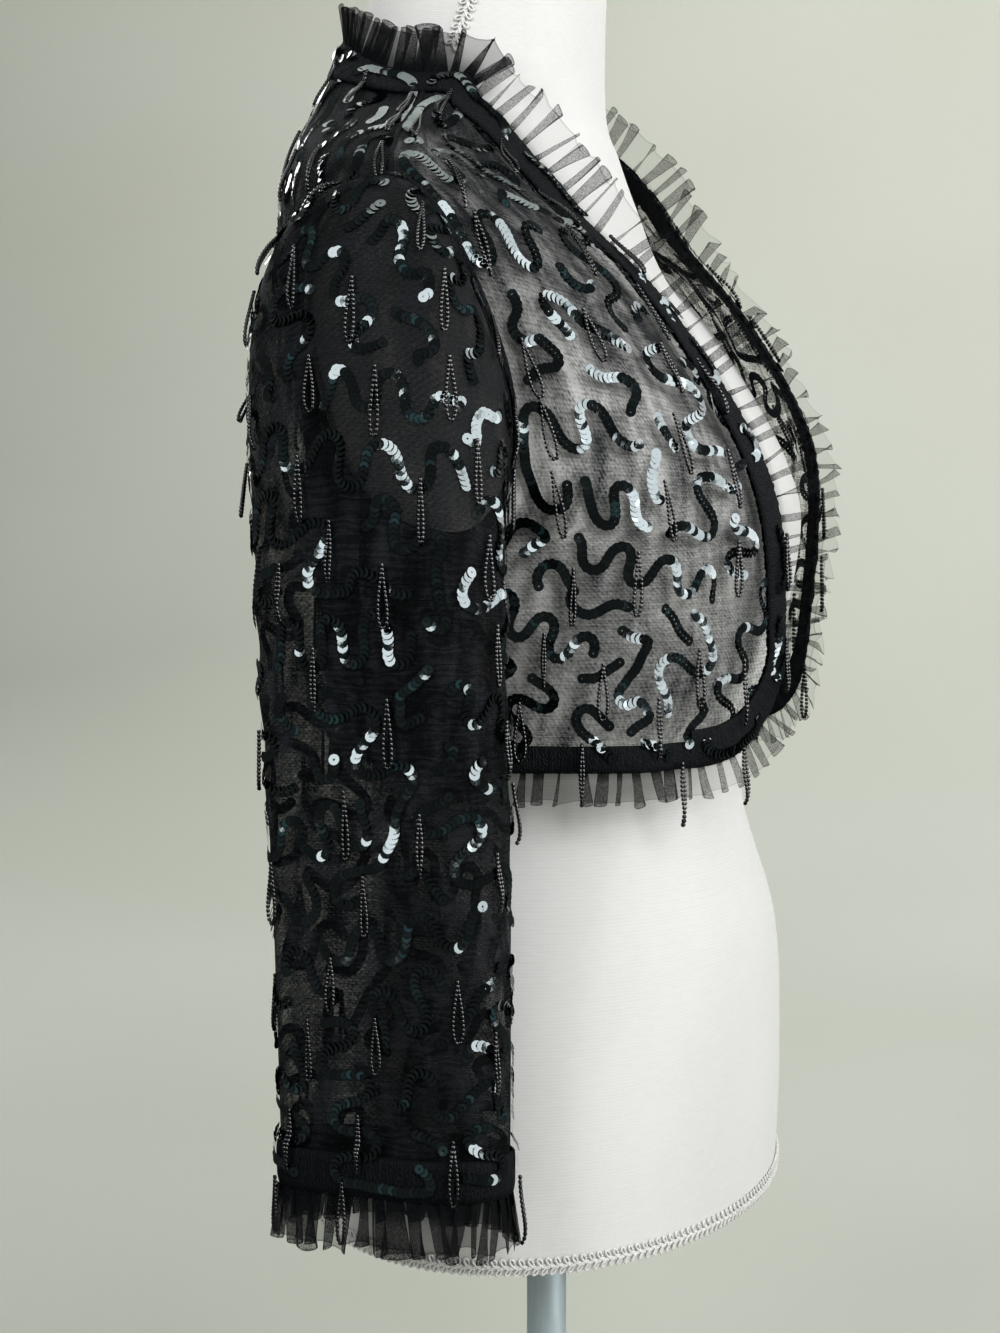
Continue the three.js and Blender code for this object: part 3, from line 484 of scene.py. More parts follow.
def spun(outline, columns):
    """A surface of revolution about the upright axis: an outline of (radius, height) carried round it."""
    turns = np.arange(columns) * TURN / columns
    radius, height = np.array(outline, float).T[:, :, None]
    return np.stack(np.broadcast_arrays(radius * np.cos(turns), radius * np.sin(turns), height), -1)


def copies_piece(name, shape, shape_faces, centres, axes, material, tints=None, shade=False):
    """One shape repeated: each copy's points are its centre plus the shape's coordinates times its axes. Its
    UVs are its tint, and how far each corner is from the shape's centre, 1 being furthest."""
    points = centres[:, None, :] + np.einsum("pk,nkc->npc", shape, axes)
    offsets = np.arange(len(centres))[:, None, None] * len(shape)
    faces = (shape_faces[None] + offsets).reshape(-1, shape_faces.shape[1])
    uvs = None
    if tints is not None:
        reach = np.linalg.norm(shape, axis=1)
        reach = (reach / reach.max())[shape_faces].ravel()
        uvs = [np.stack([np.repeat(tints, len(reach)), np.tile(reach, len(tints))], -1)]
    return put_mesh(name, points.reshape(-1, 3), [faces], material, uvs, shade)


def cord_grid(line, across, up, wide, high, sides):
    """An oval profile carried along a line: each point plus across times wide times cosine and up times high
    times sine."""
    turns = (np.arange(sides) * TURN / sides)[:, None]
    oval = across[:, None] * (wide * np.cos(turns)) + up[:, None] * (high * np.sin(turns))
    return line[:, None] + oval


# ---------- materials ----------


def new_material(name):
    """An empty material and its node tree."""
    made = bpy.data.materials.new(name)
    made.use_nodes = True
    made.node_tree.nodes.clear()
    return made, made.node_tree


def node(tree, kind, inputs=None, **settings):
    """A node with its settings and inputs; an input is a value or another node's output."""
    made = tree.nodes.new("ShaderNode" + kind)
    for key, value in settings.items():
        setattr(made, key, value)
    for key, value in (inputs or {}).items():
        if isinstance(value, bpy.types.NodeSocket):
            tree.links.new(value, made.inputs[key])
        else:
            made.inputs[key].default_value = value
    return made


def finished(made, inputs):
    """The material, with a Principled shader that has these inputs."""
    shader = node(made.node_tree, "BsdfPrincipled", inputs)
    node(made.node_tree, "OutputMaterial", {"Surface": shader.outputs["BSDF"]})
    return made


def maths(tree, operation, a, b=0.0, clamp=False):
    """A sum or product, or another of Blender's maths operations."""
    return node(tree, "Math", {0: a, 1: b}, operation=operation, use_clamp=clamp).outputs[0]


def weighted(tree, *parts):
    """The sum of patterns, each times its weight."""
    total = 0.0
    for pattern, weight in parts:
        total = maths(tree, "ADD", total, maths(tree, "MULTIPLY", pattern, weight))
    return total


def times(colour, factor):
    """A colour made lighter or darker."""
    return [factor * c for c in colour]


def ramp(tree, value, stops):
    """A colour ramp with (place, level) stops, its levels grey or colours."""
    made = node(tree, "ValToRGB", {"Fac": value})
    band = made.color_ramp
    while len(band.elements) < len(stops):
        band.elements.new(0.5)
    for element, (place, level) in zip(band.elements, stops):
        element.position = place
        element.color = (*level, 1) if hasattr(level, "__len__") else (level, level, level, 1)
    return made.outputs["Color"]


def cloth_place(tree, stretch=(1.0, 1.0, 1.0)):
    """The piece's own UV map, in millimetres, scaled by stretch."""
    uv = node(tree, "UVMap", uv_map="cloth").outputs["UV"]
    return node(tree, "Mapping", {"Vector": uv, "Scale": stretch}).outputs["Vector"]


def object_place(tree):
    """The place in the piece's own coordinates, in metres."""
    return node(tree, "TexCoord").outputs["Object"]


def trim_parts(tree):
    """The two numbers that a sequin's or a ruffle's UV map carries."""
    parts = node(tree, "SeparateXYZ", {0: node(tree, "UVMap", uv_map="cloth").outputs["UV"]})
    return parts.outputs["X"], parts.outputs["Y"]


def noise(tree, place, scale, detail=3.0, roughness=0.5):
    """A drifting grey of the given scale, in waves to the place's unit."""
    inputs = {"Vector": place, "Scale": scale, "Detail": detail, "Roughness": roughness}
    return node(tree, "TexNoise", inputs).outputs["Fac"]


def threads(tree, place, pitch, direction, distortion=0.6):
    """Fine ribs at a pitch in the place's units, along X or Y."""
    inputs = {"Vector": place, "Scale": 0.314 / pitch, "Distortion": distortion, "Detail": 1.0, "Detail Scale": 2.0}
    return node(tree, "TexWave", inputs, bands_direction=direction).outputs["Fac"]


def bump_from(tree, height, strength, distance):
    """A surface relief from a height, its distance in millimetres."""
    inputs = {"Height": height, "Strength": strength, "Distance": distance * MM}
    return node(tree, "Bump", inputs).outputs["Normal"]


def net_material(name, colour, cover):
    """Sheer net: fine crossed threads, and soft long streaks where the net lies in folds and covers more,
    as it also does towards the shoulders. Along the streaks and crumples its colour is lighter: a painted sheen."""
    made, tree = new_material(name)
    place = cloth_place(tree)
    mesh = maths(tree, "ADD", threads(tree, place, 1.5, "DIAGONAL"), threads(tree, place, 1.3, "Y"))
    grain = noise(tree, place, 0.8, 2)
    streaks = noise(tree, cloth_place(tree, (0.075, 0.028, 1)), 1.0, 3, 0.6)
    crumples = threads(tree, cloth_place(tree, (0.4, 1, 1)), 3.4, "Y", 9.0)
    level = maths(tree, "MULTIPLY", maths(tree, "SUBTRACT", mesh, 1.0), 0.26)
    for pattern, strength in ((grain, 1.6), (streaks, 3.4), (crumples, 0.3)):
        part = maths(tree, "MULTIPLY", maths(tree, "SUBTRACT", pattern, 0.5), strength)
        level = maths(tree, "ADD", level, part)
    level = maths(tree, "ADD", maths(tree, "MULTIPLY", level, max(1 - cover, 0.34)), cover, True)
    height = node(tree, "SeparateXYZ", {0: object_place(tree)}).outputs["Z"]
    gathered = ramp(tree, height, ((0.69, 0.0), (0.77, 0.42), (0.84, 0.62)))
    level = maths(tree, "ADD", level, maths(tree, "MULTIPLY", gathered, 1 - cover), True)
    # Painted sheen: the colour is lightened along the long streaks and crumples, as if they caught the light.
    painted_sheen = weighted(tree, (streaks, 0.88), (crumples, 0.12))
    return finished(made, {
        "Alpha": level,
        "Base Color": ramp(tree, painted_sheen, ((0.42, colour), (0.7, times(colour, 5)))),
        "Normal": bump_from(tree, mesh, 0.5, 0.2),
        "Roughness": 0.75,
        "Specular IOR Level": 0.1,
    })


def binding_material(colour):
    """Net folded over many times: close cross ribs, with painted shade in the creases and a painted highlight on
    the ridges.
    """
    made, tree = new_material("folded net binding")
    place = cloth_place(tree)
    ribs = threads(tree, place, 1.5, "X", 7.0)
    weave = noise(tree, place, 0.8, 3)
    height = weighted(tree, (ribs, 0.3), (weave, 0.9))
    # Painted shade and highlight: the colour follows the height, dark low in the creases and greyer up on the
    # ridges.
    return finished(made, {
        "Base Color": ramp(tree, height, ((0.35, colour), (0.95, times(colour, 4)))),
        "Normal": bump_from(tree, height, 1.0, 0.8),
        "Roughness": ramp(tree, weave, ((0.3, 0.6), (0.7, 0.85))),
        "Specular IOR Level": 0.15,
    })


def ruffle_material(name, colour, cover, doubled):
    """Pleated net: one thin layer between pleats, close and mottled where it is doubled, and dark lines where
    the net turns back on itself. UV x is 0 in the middle of a doubled strip and 1 at its folds; y runs from
    the gathers to the free edge."""
    made, tree = new_material(name)
    off, out = trim_parts(tree)
    share = maths(tree, "MULTIPLY", off, 0.5)
    mottled = noise(tree, object_place(tree), 1300.0, 2, 0.7)
    inside = maths(tree, "MULTIPLY", ramp(tree, mottled, ((0.36, 0.5), (0.62, 1.0))), 1.35 * doubled)
    layer = ramp(tree, share, ((0.0, 0.0), (0.48, 0.0), (0.52, 1.0), (1.0, 1.0)))
    crease = ramp(tree, share, ((0.0, 0.0), (0.38, 0.0), (0.48, 1.0), (0.52, 1.0), (0.58, 0.0)))
    alpha = node(tree, "Mix", {0: layer, 2: inside, 3: cover}).outputs[0]
    alpha = maths(tree, "ADD", alpha, maths(tree, "MULTIPLY", crease, 0.5), True)
    rims = ramp(tree, out, ((0.0, 0.4), (0.1 + 0.9 * cover, 0.0), (0.955, 0.0), (1.0, 0.28)))
    return finished(made, {
        "Alpha": maths(tree, "ADD", alpha, rims, True),
        "Base Color": ramp(tree, mottled, ((0.3, colour), (0.8, times(colour, 2.5)))),
        "Roughness": 0.8,
        "Specular IOR Level": 0.1,
    })


def sequin_material(colour, glint):
    """Glossy black plastic with a scuffed sheen. UV x is each sequin's own tint, from black to sea blue, and
    UV y runs out to its rim, which is darkened towards black: a painted shadow standing in for the shade where
    the sequins overlap."""
    made, tree = new_material("black sequin")
    tint, outwards = trim_parts(tree)
    stops = (0.0, times(colour, 0.5)), (0.5, times(colour, 2)), (0.82, times(colour, 5)), (0.97, glint)
    # Painted shadow: the colour turns black towards each sequin's rim, as if shaded where the sequins overlap.
    rim = ramp(tree, outwards, ((0.72, 0.0), (0.9, 0.85)))
    tint_and_painted_rim_shadow = node(tree, "Mix", {0: rim, 6: ramp(tree, tint, stops), 7: (0, 0, 0, 1)}, data_type="RGBA")
    scuffs = noise(tree, object_place(tree), 1400.0, 2)
    return finished(made, {
        "Base Color": tint_and_painted_rim_shadow.outputs[2],
        "Roughness": ramp(tree, scuffs, ((0.35, 0.05), (0.7, 0.14))),
        "IOR": 1.5,
        "Specular IOR Level": 1.0,
        "Specular Tint": (0.86, 0.97, 1.0, 1.0),
    })


def bead_material(colour):
    """Small glass beads, jet black, with uneven polish."""
    made, tree = new_material("jet glass bead")
    polish = noise(tree, object_place(tree), 700.0, 1)
    return finished(made, {
        "Base Color": ramp(tree, polish, ((0.3, colour), (0.8, times(colour, 2)))),
        "Roughness": ramp(tree, polish, ((0.3, 0.06), (0.7, 0.13))),
        "IOR": 1.55,
        "Specular IOR Level": 0.6,
    })


def linen_material(colour):
    """Plain woven cotton cover: crossed threads, thick slubs and a very faint unevenness of colour."""
    made, tree = new_material("off-white woven cover")
    place = cloth_place(tree)
    weave = maths(tree, "ADD", threads(tree, place, 1.0, "X", 1.2), threads(tree, place, 1.1, "Y", 1.2))
    slubs = noise(tree, cloth_place(tree, (0.09, 0.9, 1)), 1.0, 3)
    stains = noise(tree, place, 0.02, 4)
    height = weighted(tree, (weave, 0.4), (slubs, 1.0))
    tone = weighted(tree, (height, 0.45), (stains, 0.4))
    return finished(made, {
        "Base Color": ramp(tree, tone, ((0.25, times(colour, 0.9)), (0.75, colour))),
        "Normal": bump_from(tree, height, 0.35, 0.25),
        "Roughness": 0.92,
        "Sheen Weight": 0.15,
    })


def braid_material(colour):
    """Soft spun cord with a fine twist, its colour darkened to pale grey by a painted shade in its creases."""
    made, tree = new_material("white gimp cord")
    fibres_and_painted_shade = noise(tree, object_place(tree), 1500.0, 2)
    # Painted shade: where the fibre pattern is low, the white turns pale grey as if shaded in the creases.
    return finished(made, {
        "Base Color": ramp(tree, fibres_and_painted_shade, ((0.3, times(colour, 0.72)), (0.65, colour))),
        "Normal": bump_from(tree, fibres_and_painted_shade, 0.4, 0.2),
        "Roughness": 0.8,
    })


def steel_material(colour):
    """Satin painted steel with a faint upright grain and small scuffs."""
    made, tree = new_material("satin steel")
    place = node(tree, "Mapping", {"Vector": object_place(tree), "Scale": (60, 60, 4)}).outputs["Vector"]
    grain = noise(tree, place, 6.0, 4)
    scuffs = noise(tree, object_place(tree), 35.0, 5)
    return finished(made, {
        "Base Color": ramp(tree, grain, ((0.3, times(colour, 0.85)), (0.7, colour))),
        "Roughness": ramp(tree, scuffs, ((0.35, 0.5), (0.7, 0.7))),
        "Normal": bump_from(tree, grain, 0.1, 0.1),
        "Metallic": 0.3,
    })


def plaster_material(colour, shade):
    """Pale rolled wall paint: soft drifting tone and a fine orange-peel surface."""
    made, tree = new_material("pale studio paint")
    place = object_place(tree)
    tone = noise(tree, place, 0.8, 2)
    peel = noise(tree, place, 220.0, 2)
    return finished(made, {
        "Base Color": ramp(tree, tone, ((0.3, shade), (0.7, colour))),
        "Normal": bump_from(tree, peel, 0.25, 1.0),
        "Roughness": 0.85,
    })


def finish_of(name, build, *values):
    """The material of that name, made the first time it is asked for."""
    return bpy.data.materials.get(name) or build(*values)


# ---------- properties ----------


def length(name, about, default):
    """A property in metres."""
    return bpy.props.FloatProperty(name=name, description=about, default=default, subtype="DISTANCE", unit="LENGTH")


def share(name, about, default):
    """A property from 0 to 1."""
    return bpy.props.FloatProperty(name=name, description=about, default=default, min=0, max=1, subtype="FACTOR")


def colour(name, about, default):
    """A property that is a colour."""
    options = {"size": 3, "min": 0.0, "max": 1.0, "subtype": "COLOR"}
    return bpy.props.FloatVectorProperty(name=name, description=about, default=default, **options)


class CardiganSizes(bpy.types.PropertyGroup):
    """Sizes of the trimmings that a maker would change."""

    sequin_width: length("Sequin width", "Across one flat sequin", 0.0053)
    sequin_pitch: length("Sequin pitch", "Between sequins sewn along a line", 0.0025)
    line_gap: length("Line gap", "Least distance between two sequin lines", 0.0088)
    bead_width: length("Bead width", "Across one bead", 0.0021)
    loop_drop: length("Loop drop", "How far a bead loop hangs", 0.030)
    loop_gap: length("Loop gap", "Least distance between two bead loops", 0.031)
    pleat_pitch: length("Pleat pitch", "Between the front ruffle's pleats", 0.0096)
    close_pitch: length("Close pleat pitch", "Between the back neck's and the cuffs' pleats", 0.0068)
    cord_width: length("Cord width", "Across one cord of the braid", 0.0013)
    net_cover: share("Net cover", "How much of the view the fronts' net blocks", 0.38)
    close_cover: share("Close net cover", "How much the closer net of sleeves and back blocks", 0.8)
    ruffle_cover: share("Ruffle cover", "How much one layer of the front ruffle blocks", 0.11)
    hem_ruffle_cover: share("Hem ruffle cover", "How much one layer of the hem ruffle blocks", 0.26)
    close_ruffle_cover: share("Close ruffle cover", "How much a layer at the back neck and cuffs blocks", 0.42)
    doubled_cover: share("Doubled cover", "How much the ruffle blocks where it is doubled", 0.38)


class CardiganColours(bpy.types.PropertyGroup):
    """Colours of the cloth, trimmings, dress form and studio."""

    net: colour("Net", "Thread of the net", (0.0036, 0.0041, 0.005))
    binding: colour("Binding", "Folded net", (0.002, 0.0025, 0.0034))
    sequin: colour("Sequin", "Sequins", (0.0022, 0.0032, 0.0036))
    glint: colour("Glint", "The few bluer sequins", (0.02, 0.044, 0.05))
    bead: colour("Bead", "Beads", (0.003, 0.003, 0.004))
    linen: colour("Cover", "Dress form's woven cover", (0.75, 0.745, 0.74))
    braid: colour("Braid", "Dress form's braid", (0.82, 0.81, 0.8))
    steel: colour("Steel", "Pole and base", (0.5, 0.57, 0.6))
    wall: colour("Wall", "Studio wall and floor", (0.5, 0.51, 0.475))
    wall_shade: colour("Wall shade", "Its darker drifts", (0.46, 0.47, 0.42))


def sizes():
    return bpy.context.scene.cardigan_sizes


def tone(name):
    return tuple(getattr(bpy.context.scene.cardigan_colours, name))


def net_finish():
    return finish_of("sheer black net", net_material, "sheer black net", tone("net"), sizes().net_cover)


def close_net_finish():
    return finish_of("close black net", net_material, "close black net", tone("net"), sizes().close_cover)


def binding_finish():
    return finish_of("folded net binding", binding_material, tone("binding"))


def ruffle_finish(name, cover):
    return finish_of(name, ruffle_material, name, tone("net"), cover, sizes().doubled_cover + 0.5 * cover)


def close_ruffle_finish():
    return ruffle_finish("close pleated net", sizes().close_ruffle_cover)


def sewn_on(piece, slot_name, *nodes):
    """Rides on the part's one body, in place of its solids; slot_name is not used."""
    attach(piece, "root")
    if nodes:
        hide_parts(*nodes)


# ---------- the net panels and sleeves ----------

SLEEVE_SURFACES = {"right": (on_sleeve, -1), "left": (mirrored(on_sleeve), 1)}  # 1 or -1 as for surface_normal
BODY_STATIONS = np.concatenate([
    np.linspace(NECK, SHOULDER_TIP, 40)[:-1],
    SHOULDER_TIP + (UNDERARM - SHOULDER_TIP) * (1 - np.cos(np.linspace(0, HALF, 46))) / 2,
    np.linspace(UNDERARM, CORNER, 18)[1:-1],
    CORNER + np.sin(np.linspace(0, QUARTER, 22)),
])


def body_panel(name, starts, ends, columns, flat, area, cut_node, finish):
    """A panel between two angles at each station: columns are shares of the way from one to the other."""
    share = np.linspace(0, 1, columns)
    angles = starts[:, None] + (ends - starts)[:, None] * share
    points = on_body(angles, BODY_STATIONS[:, None])
    piece = grid_piece(name, points, finish, flat, flip=True)
    sewn_on(piece, "net", cut_node)


class CARDIGAN_OT_panels(bpy.types.Operator):
    """Cuts and hangs the back and the two fronts of sheer net"""

    bl_idname = "cardigan.panels"
    bl_label = "Back and fronts"

    def execute(self, context):
        start, end = back_from(BODY_STATIONS), TURN - back_from(BODY_STATIONS)
        body_panel("net_back", start, end, 110, (410, 400), 0.123, "back", close_net_finish())
        right = edge_angle(False, BODY_STATIONS), front_to(BODY_STATIONS)
        left = TURN - front_to(BODY_STATIONS), TURN - edge_angle(True, BODY_STATIONS)
        body_panel("net_front_right", *right, 60, (215, 400), 0.058, "front_right", net_finish())
        body_panel("net_front_left", *left, 60, (215, 400), 0.058, "front_left", net_finish())
        return {"FINISHED"}


class CARDIGAN_OT_sleeves(bpy.types.Operator):
    """Sets in the two long sleeves of sheer net"""

    bl_idname = "cardigan.sleeves"
    bl_label = "Sleeves"

    def execute(self, context):
        along = np.concatenate([np.linspace(0, 1, 56)[:-1], np.linspace(1, 2, 70)])
        turns = np.arange(96) * TURN / 96
        for side, (surface, outward) in SLEEVE_SURFACES.items():
            points = surface(turns, along[:, None])
            name = f"net_sleeve_{side}"
            size = 300, 500  # the net's scale, a little finer round the arm than the sheet's own width gives
            piece = grid_piece(name, points, close_net_finish(), size, joined=True, flip=outward > 0)
            sewn_on(piece, "net", f"sleeve_{side}")
        return {"FINISHED"}


def seam(name, line, up, wide, high):
    """A raised seam: an oval cord along a line, flat against the cloth. It is closed at its ends, unless the
    line comes back to its start."""
    ahead, comes_back = headings_along(line)
    grid = cord_grid(line, unit(np.cross(ahead, up)), up, wide, high, 8)
    size = 5, lengths_along(line)[-1]
    sewn_on(grid_piece(name, grid, binding_finish(), size, joined=True, lids=not comes_back), "binding")


class CARDIGAN_OT_seams(bpy.types.Operator):
    """Raises the shoulder, side, armhole and underarm seams"""

    bl_idname = "cardigan.seams"
    bl_label = "Seams"

    def execute(self, context):
        for side, flip in SIDES:
            for part, stations in (("shoulder", (NECK, SHOULDER_TIP)), ("side", (UNDERARM, HEM))):
                station = np.linspace(*stations, 90)
                line = on_body(QUARTER, station, 0.4) * flip
                up = ring_normal(CLOTH_RINGS, QUARTER, station) * flip
                seam(f"seam_{part}_{side}", line, up, 1.5, 0.9)
            turn = np.linspace(0, TURN, 160)
            line, up = on_armhole(turn, 1.6)
            seam(f"seam_armhole_{side}", line * flip, up * flip, 2.0, 1.3)
            along = np.linspace(0.05, 1.93, 120)
            surface = SLEEVE_SURFACES[side][0]
            line = surface(HALF, along, -0.4)
            up = unit(surface(HALF, along, 1.0) - surface(HALF, along, 0.0))
            seam(f"seam_underarm_{side}", line, up, 1.4, 0.8)
        return {"FINISHED"}


# ---------- the free edge, its binding and its ruffle ----------


def trace_edge():
    """The cardigan's whole free edge as angles and stations, from the back neck down the right front, round
    the hem, up the left front and back, with the distance along it in millimetres."""
    steps = 160
    neck_end, hem_start = edge_angle(False, NECK), edge_angle(False, HEM)
    left_neck, left_hem = edge_angle(True, NECK), edge_angle(True, HEM)
    down = np.concatenate([
        np.linspace(NECK, CORNER, steps)[:-1],
        CORNER + np.sin(np.linspace(0, QUARTER, steps // 3)),
    ])
    parts = (
        (np.linspace(HALF, neck_end, steps)[:-1], np.full(steps - 1, NECK)),
        (edge_angle(False, down), down),
        (np.linspace(hem_start, TURN - left_hem, 2 * steps)[1:-1], np.full(2 * steps - 2, HEM)),
        (TURN - edge_angle(True, down)[::-1], down[::-1]),
        (np.linspace(TURN - left_neck, HALF, steps)[1:], np.full(steps - 1, NECK)),
    )
    angle = np.concatenate([p[0] for p in parts])
    station = np.concatenate([p[1] for p in parts])
    distance = lengths_along(on_body(angle, station))
    first, second, third, fourth, _ = np.cumsum([len(p[0]) for p in parts])
    return angle, station, distance, distance[[first, second - 1, third, fourth - 1]]


EDGE_ANGLE, EDGE_STATION, EDGE_DISTANCE, EDGE_TURNS = trace_edge()
RIGHT_NECK, HEM_FROM, HEM_TO, LEFT_NECK = EDGE_TURNS
EDGE_LENGTH = EDGE_DISTANCE[-1]


def edge_frame(distance):
    """The edge's place, point and directions at distances along it: outward normal, forward along the edge,
    and away from the panel."""
    def place(at):
        at = np.mod(at, EDGE_LENGTH)
        return np.interp(at, EDGE_DISTANCE, EDGE_ANGLE), np.interp(at, EDGE_DISTANCE, EDGE_STATION)

    angle, station = place(distance)
    normal = ring_normal(CLOTH_RINGS, angle, station)
    ahead = on_body(*place(distance + 4)) - on_body(*place(distance - 4))
    ahead = unit(ahead - normal * dot(ahead, normal))
    return angle, station, on_body(angle, station), normal, ahead, np.cross(normal, ahead)


def inset_place(angle, station, away, inset):
    """The angle and station that lie inset from the edge, square to it: the wanted step solved for the two
    steps that a small change of angle and of station make."""
    step = 1e-3
    here = on_body(angle, station)
    round_it = (on_body(angle + step, station) - here) / step
    down = (here - on_body(angle, station - step)) / step
    wanted = -away * inset
    rr, dd, rd = (np.sum(a * b, -1) for a, b in ((round_it, round_it), (down, down), (round_it, down)))
    rw, dw = np.sum(round_it * wanted, -1), np.sum(down * wanted, -1)
    whole = rr * dd - rd * rd
    return angle + (rw * dd - dw * rd) / whole, station + (dw * rr - rw * rd) / whole


def edge_binding(name, start, end, cut_node, deeper):
    """Net folded over the edge: each point of the section, its inset times deeper, and lifted, at each
    distance along, with small gathers in its lift."""
    distance = np.linspace(start, end, int((end - start) / BINDING_STEP))
    angle, station, _, _, _, away = edge_frame(distance)
    rows = []
    for k, (inset, lift) in enumerate(BINDING_SECTION):
        crinkle = 0.28 * drift(distance + 2 * k, 5, 3.1) + 0.2 * drift(distance, 50 + k, 5.0)
        rows.append(on_body(*inset_place(angle, station, away, inset * deeper), lift + crinkle))
    points = np.array(rows)
    width = lengths_along(points[:, 0])[-1]
    piece = grid_piece(name, points, binding_finish(), (end - start, width), flip=True)
    sewn_on(piece, "binding", cut_node)


def pleated(name, frame, width, phase, pitch, depth, seed, finish, cut_node, flip=True):
    """A pleated strip. Its frame is points on the edge, and the directions forward along it, across the strip
    and out. Each point runs out by its width, and is pushed both forward and across by the sine of its phase,
    so that the net turns back on itself in knife pleats. depth, in pitches, is how far it is pushed back. The
    strip fans and sways along the edge as it runs out, and its free edge dips between the pleats."""
    points, ahead, across, run = frame
    share = np.linspace(0, 1, PLEAT_ROWS)[:, None]
    place = lengths_along(points)
    turned = phase + 0.8 * drift(place, seed, 26) * share
    push = np.sin(turned)
    back = -pitch * depth * push
    sway = 0.17 * width * share * drift(place, seed + 1, 31) + 0.1 * width * share**2 * drift(place, seed + 2, 9)
    wave = (1.1 + 0.7 * share) * (1 + 0.35 * drift(place, seed + 3, 22)) * push
    length = width * share * (1 + 0.07 * np.cos(turned) + 0.06 * drift(place, seed + 4, 19))
    grid = points + run * length[..., None] + ahead * (back + sway)[..., None] + across * wave[..., None]
    fold = np.arccos(np.clip(1 / (TURN * depth), -1, 1))
    off = np.abs(np.mod(turned + HALF, TURN) - HALF) / fold
    places = np.stack([np.minimum(off, 2), share + 0 * off], -1)
    piece = grid_piece(name, grid, finish, places=places, flip=flip)
    sewn_on(piece, "ruffle", cut_node)


def edge_ruffle(name, start, end, seed, pitch, depth, finish, cut_node, sewn_to):
    """A ruffle along a stretch of the edge; its width and lean follow the table, and change to the back
    neck's own behind the shoulders."""
    pleats = round((end - start) / pitch)
    distance = np.linspace(start, end, pleats * PLEAT_STEPS + 1)
    angle, station, point, normal, ahead, away = edge_frame(distance)
    a, left = from_front(angle)
    shape = [np.interp(station, RUFFLE_SHAPE[:, 0], RUFFLE_SHAPE[:, k]) for k in (1, 2, 3)]
    behind = np.where(station < CORNER, np.clip((a - QUARTER) / QUARTER, 0, 1), 0)
    width = shape[0] + (BACK_NECK_WIDTH - shape[0]) * behind
    lean = np.where(left, shape[2], shape[1])
    lean = np.radians(lean + (BACK_NECK_LEAN - lean) * behind + 5 * drift(distance, seed, 60))[:, None]
    run = away * np.cos(lean) + normal * np.sin(lean)
    across = normal * np.cos(lean) - away * np.sin(lean)
    phase = TURN * np.linspace(0, pleats, len(distance)) + 1.3 * drift(distance, seed + 1, 34)
    depth = depth * (1 + 0.26 * drift(distance, seed + 2, 15))
    frame = point + away * RUFFLE_START, ahead, across, run
    pleated(name, frame, width, phase, pitch, depth, seed + 3, finish, cut_node)


def cuff_frame(surface, turns):
    """The cuff's edge: its points, the direction round it and the outward normal."""
    point = surface(turns, 2.0)
    out = unit(surface(turns, 2.0, 1.0) - point)
    ahead = unit(surface(turns + 0.02, 2.0) - surface(turns - 0.02, 2.0))
    return point, ahead, unit(out - ahead * dot(out, ahead))


class CARDIGAN_OT_bindings(bpy.types.Operator):
    """Folds the bindings over the neck, front, hem and cuff edges"""

    bl_idname = "cardigan.bindings"
    bl_label = "Bindings"

    def execute(self, context):
        edge_binding("front_and_neck_binding", HEM_TO - EDGE_LENGTH, HEM_FROM, "front_and_neck_band",
                     FRONT_BINDING_DEPTH)
        edge_binding("hem_binding", HEM_FROM, HEM_TO, "hem_band", HEM_BINDING_DEPTH)
        turns = np.arange(CUFF_STEPS) * TURN / CUFF_STEPS
        band = CUFF_BAND / (SLEEVE_TOP - SLEEVE_END)
        for side, (surface, outward) in SLEEVE_SURFACES.items():
            rows = []
            for k, (above, lift) in enumerate(CUFF_SECTION):
                crinkle = 0.25 * np.sin(61 * turns + 2 * np.sin(7 * turns) + 0.6 * k)
                rows.append(surface(turns, np.full(CUFF_STEPS, 2 - above * band), lift + crinkle))
            points = np.array(rows)
            name = f"cuff_binding_{side}"
            piece = grid_piece(name, points, binding_finish(), (280, 34), joined=True, flip=outward > 0)
            sewn_on(piece, "binding", f"cuff_band_{side}")
        return {"FINISHED"}


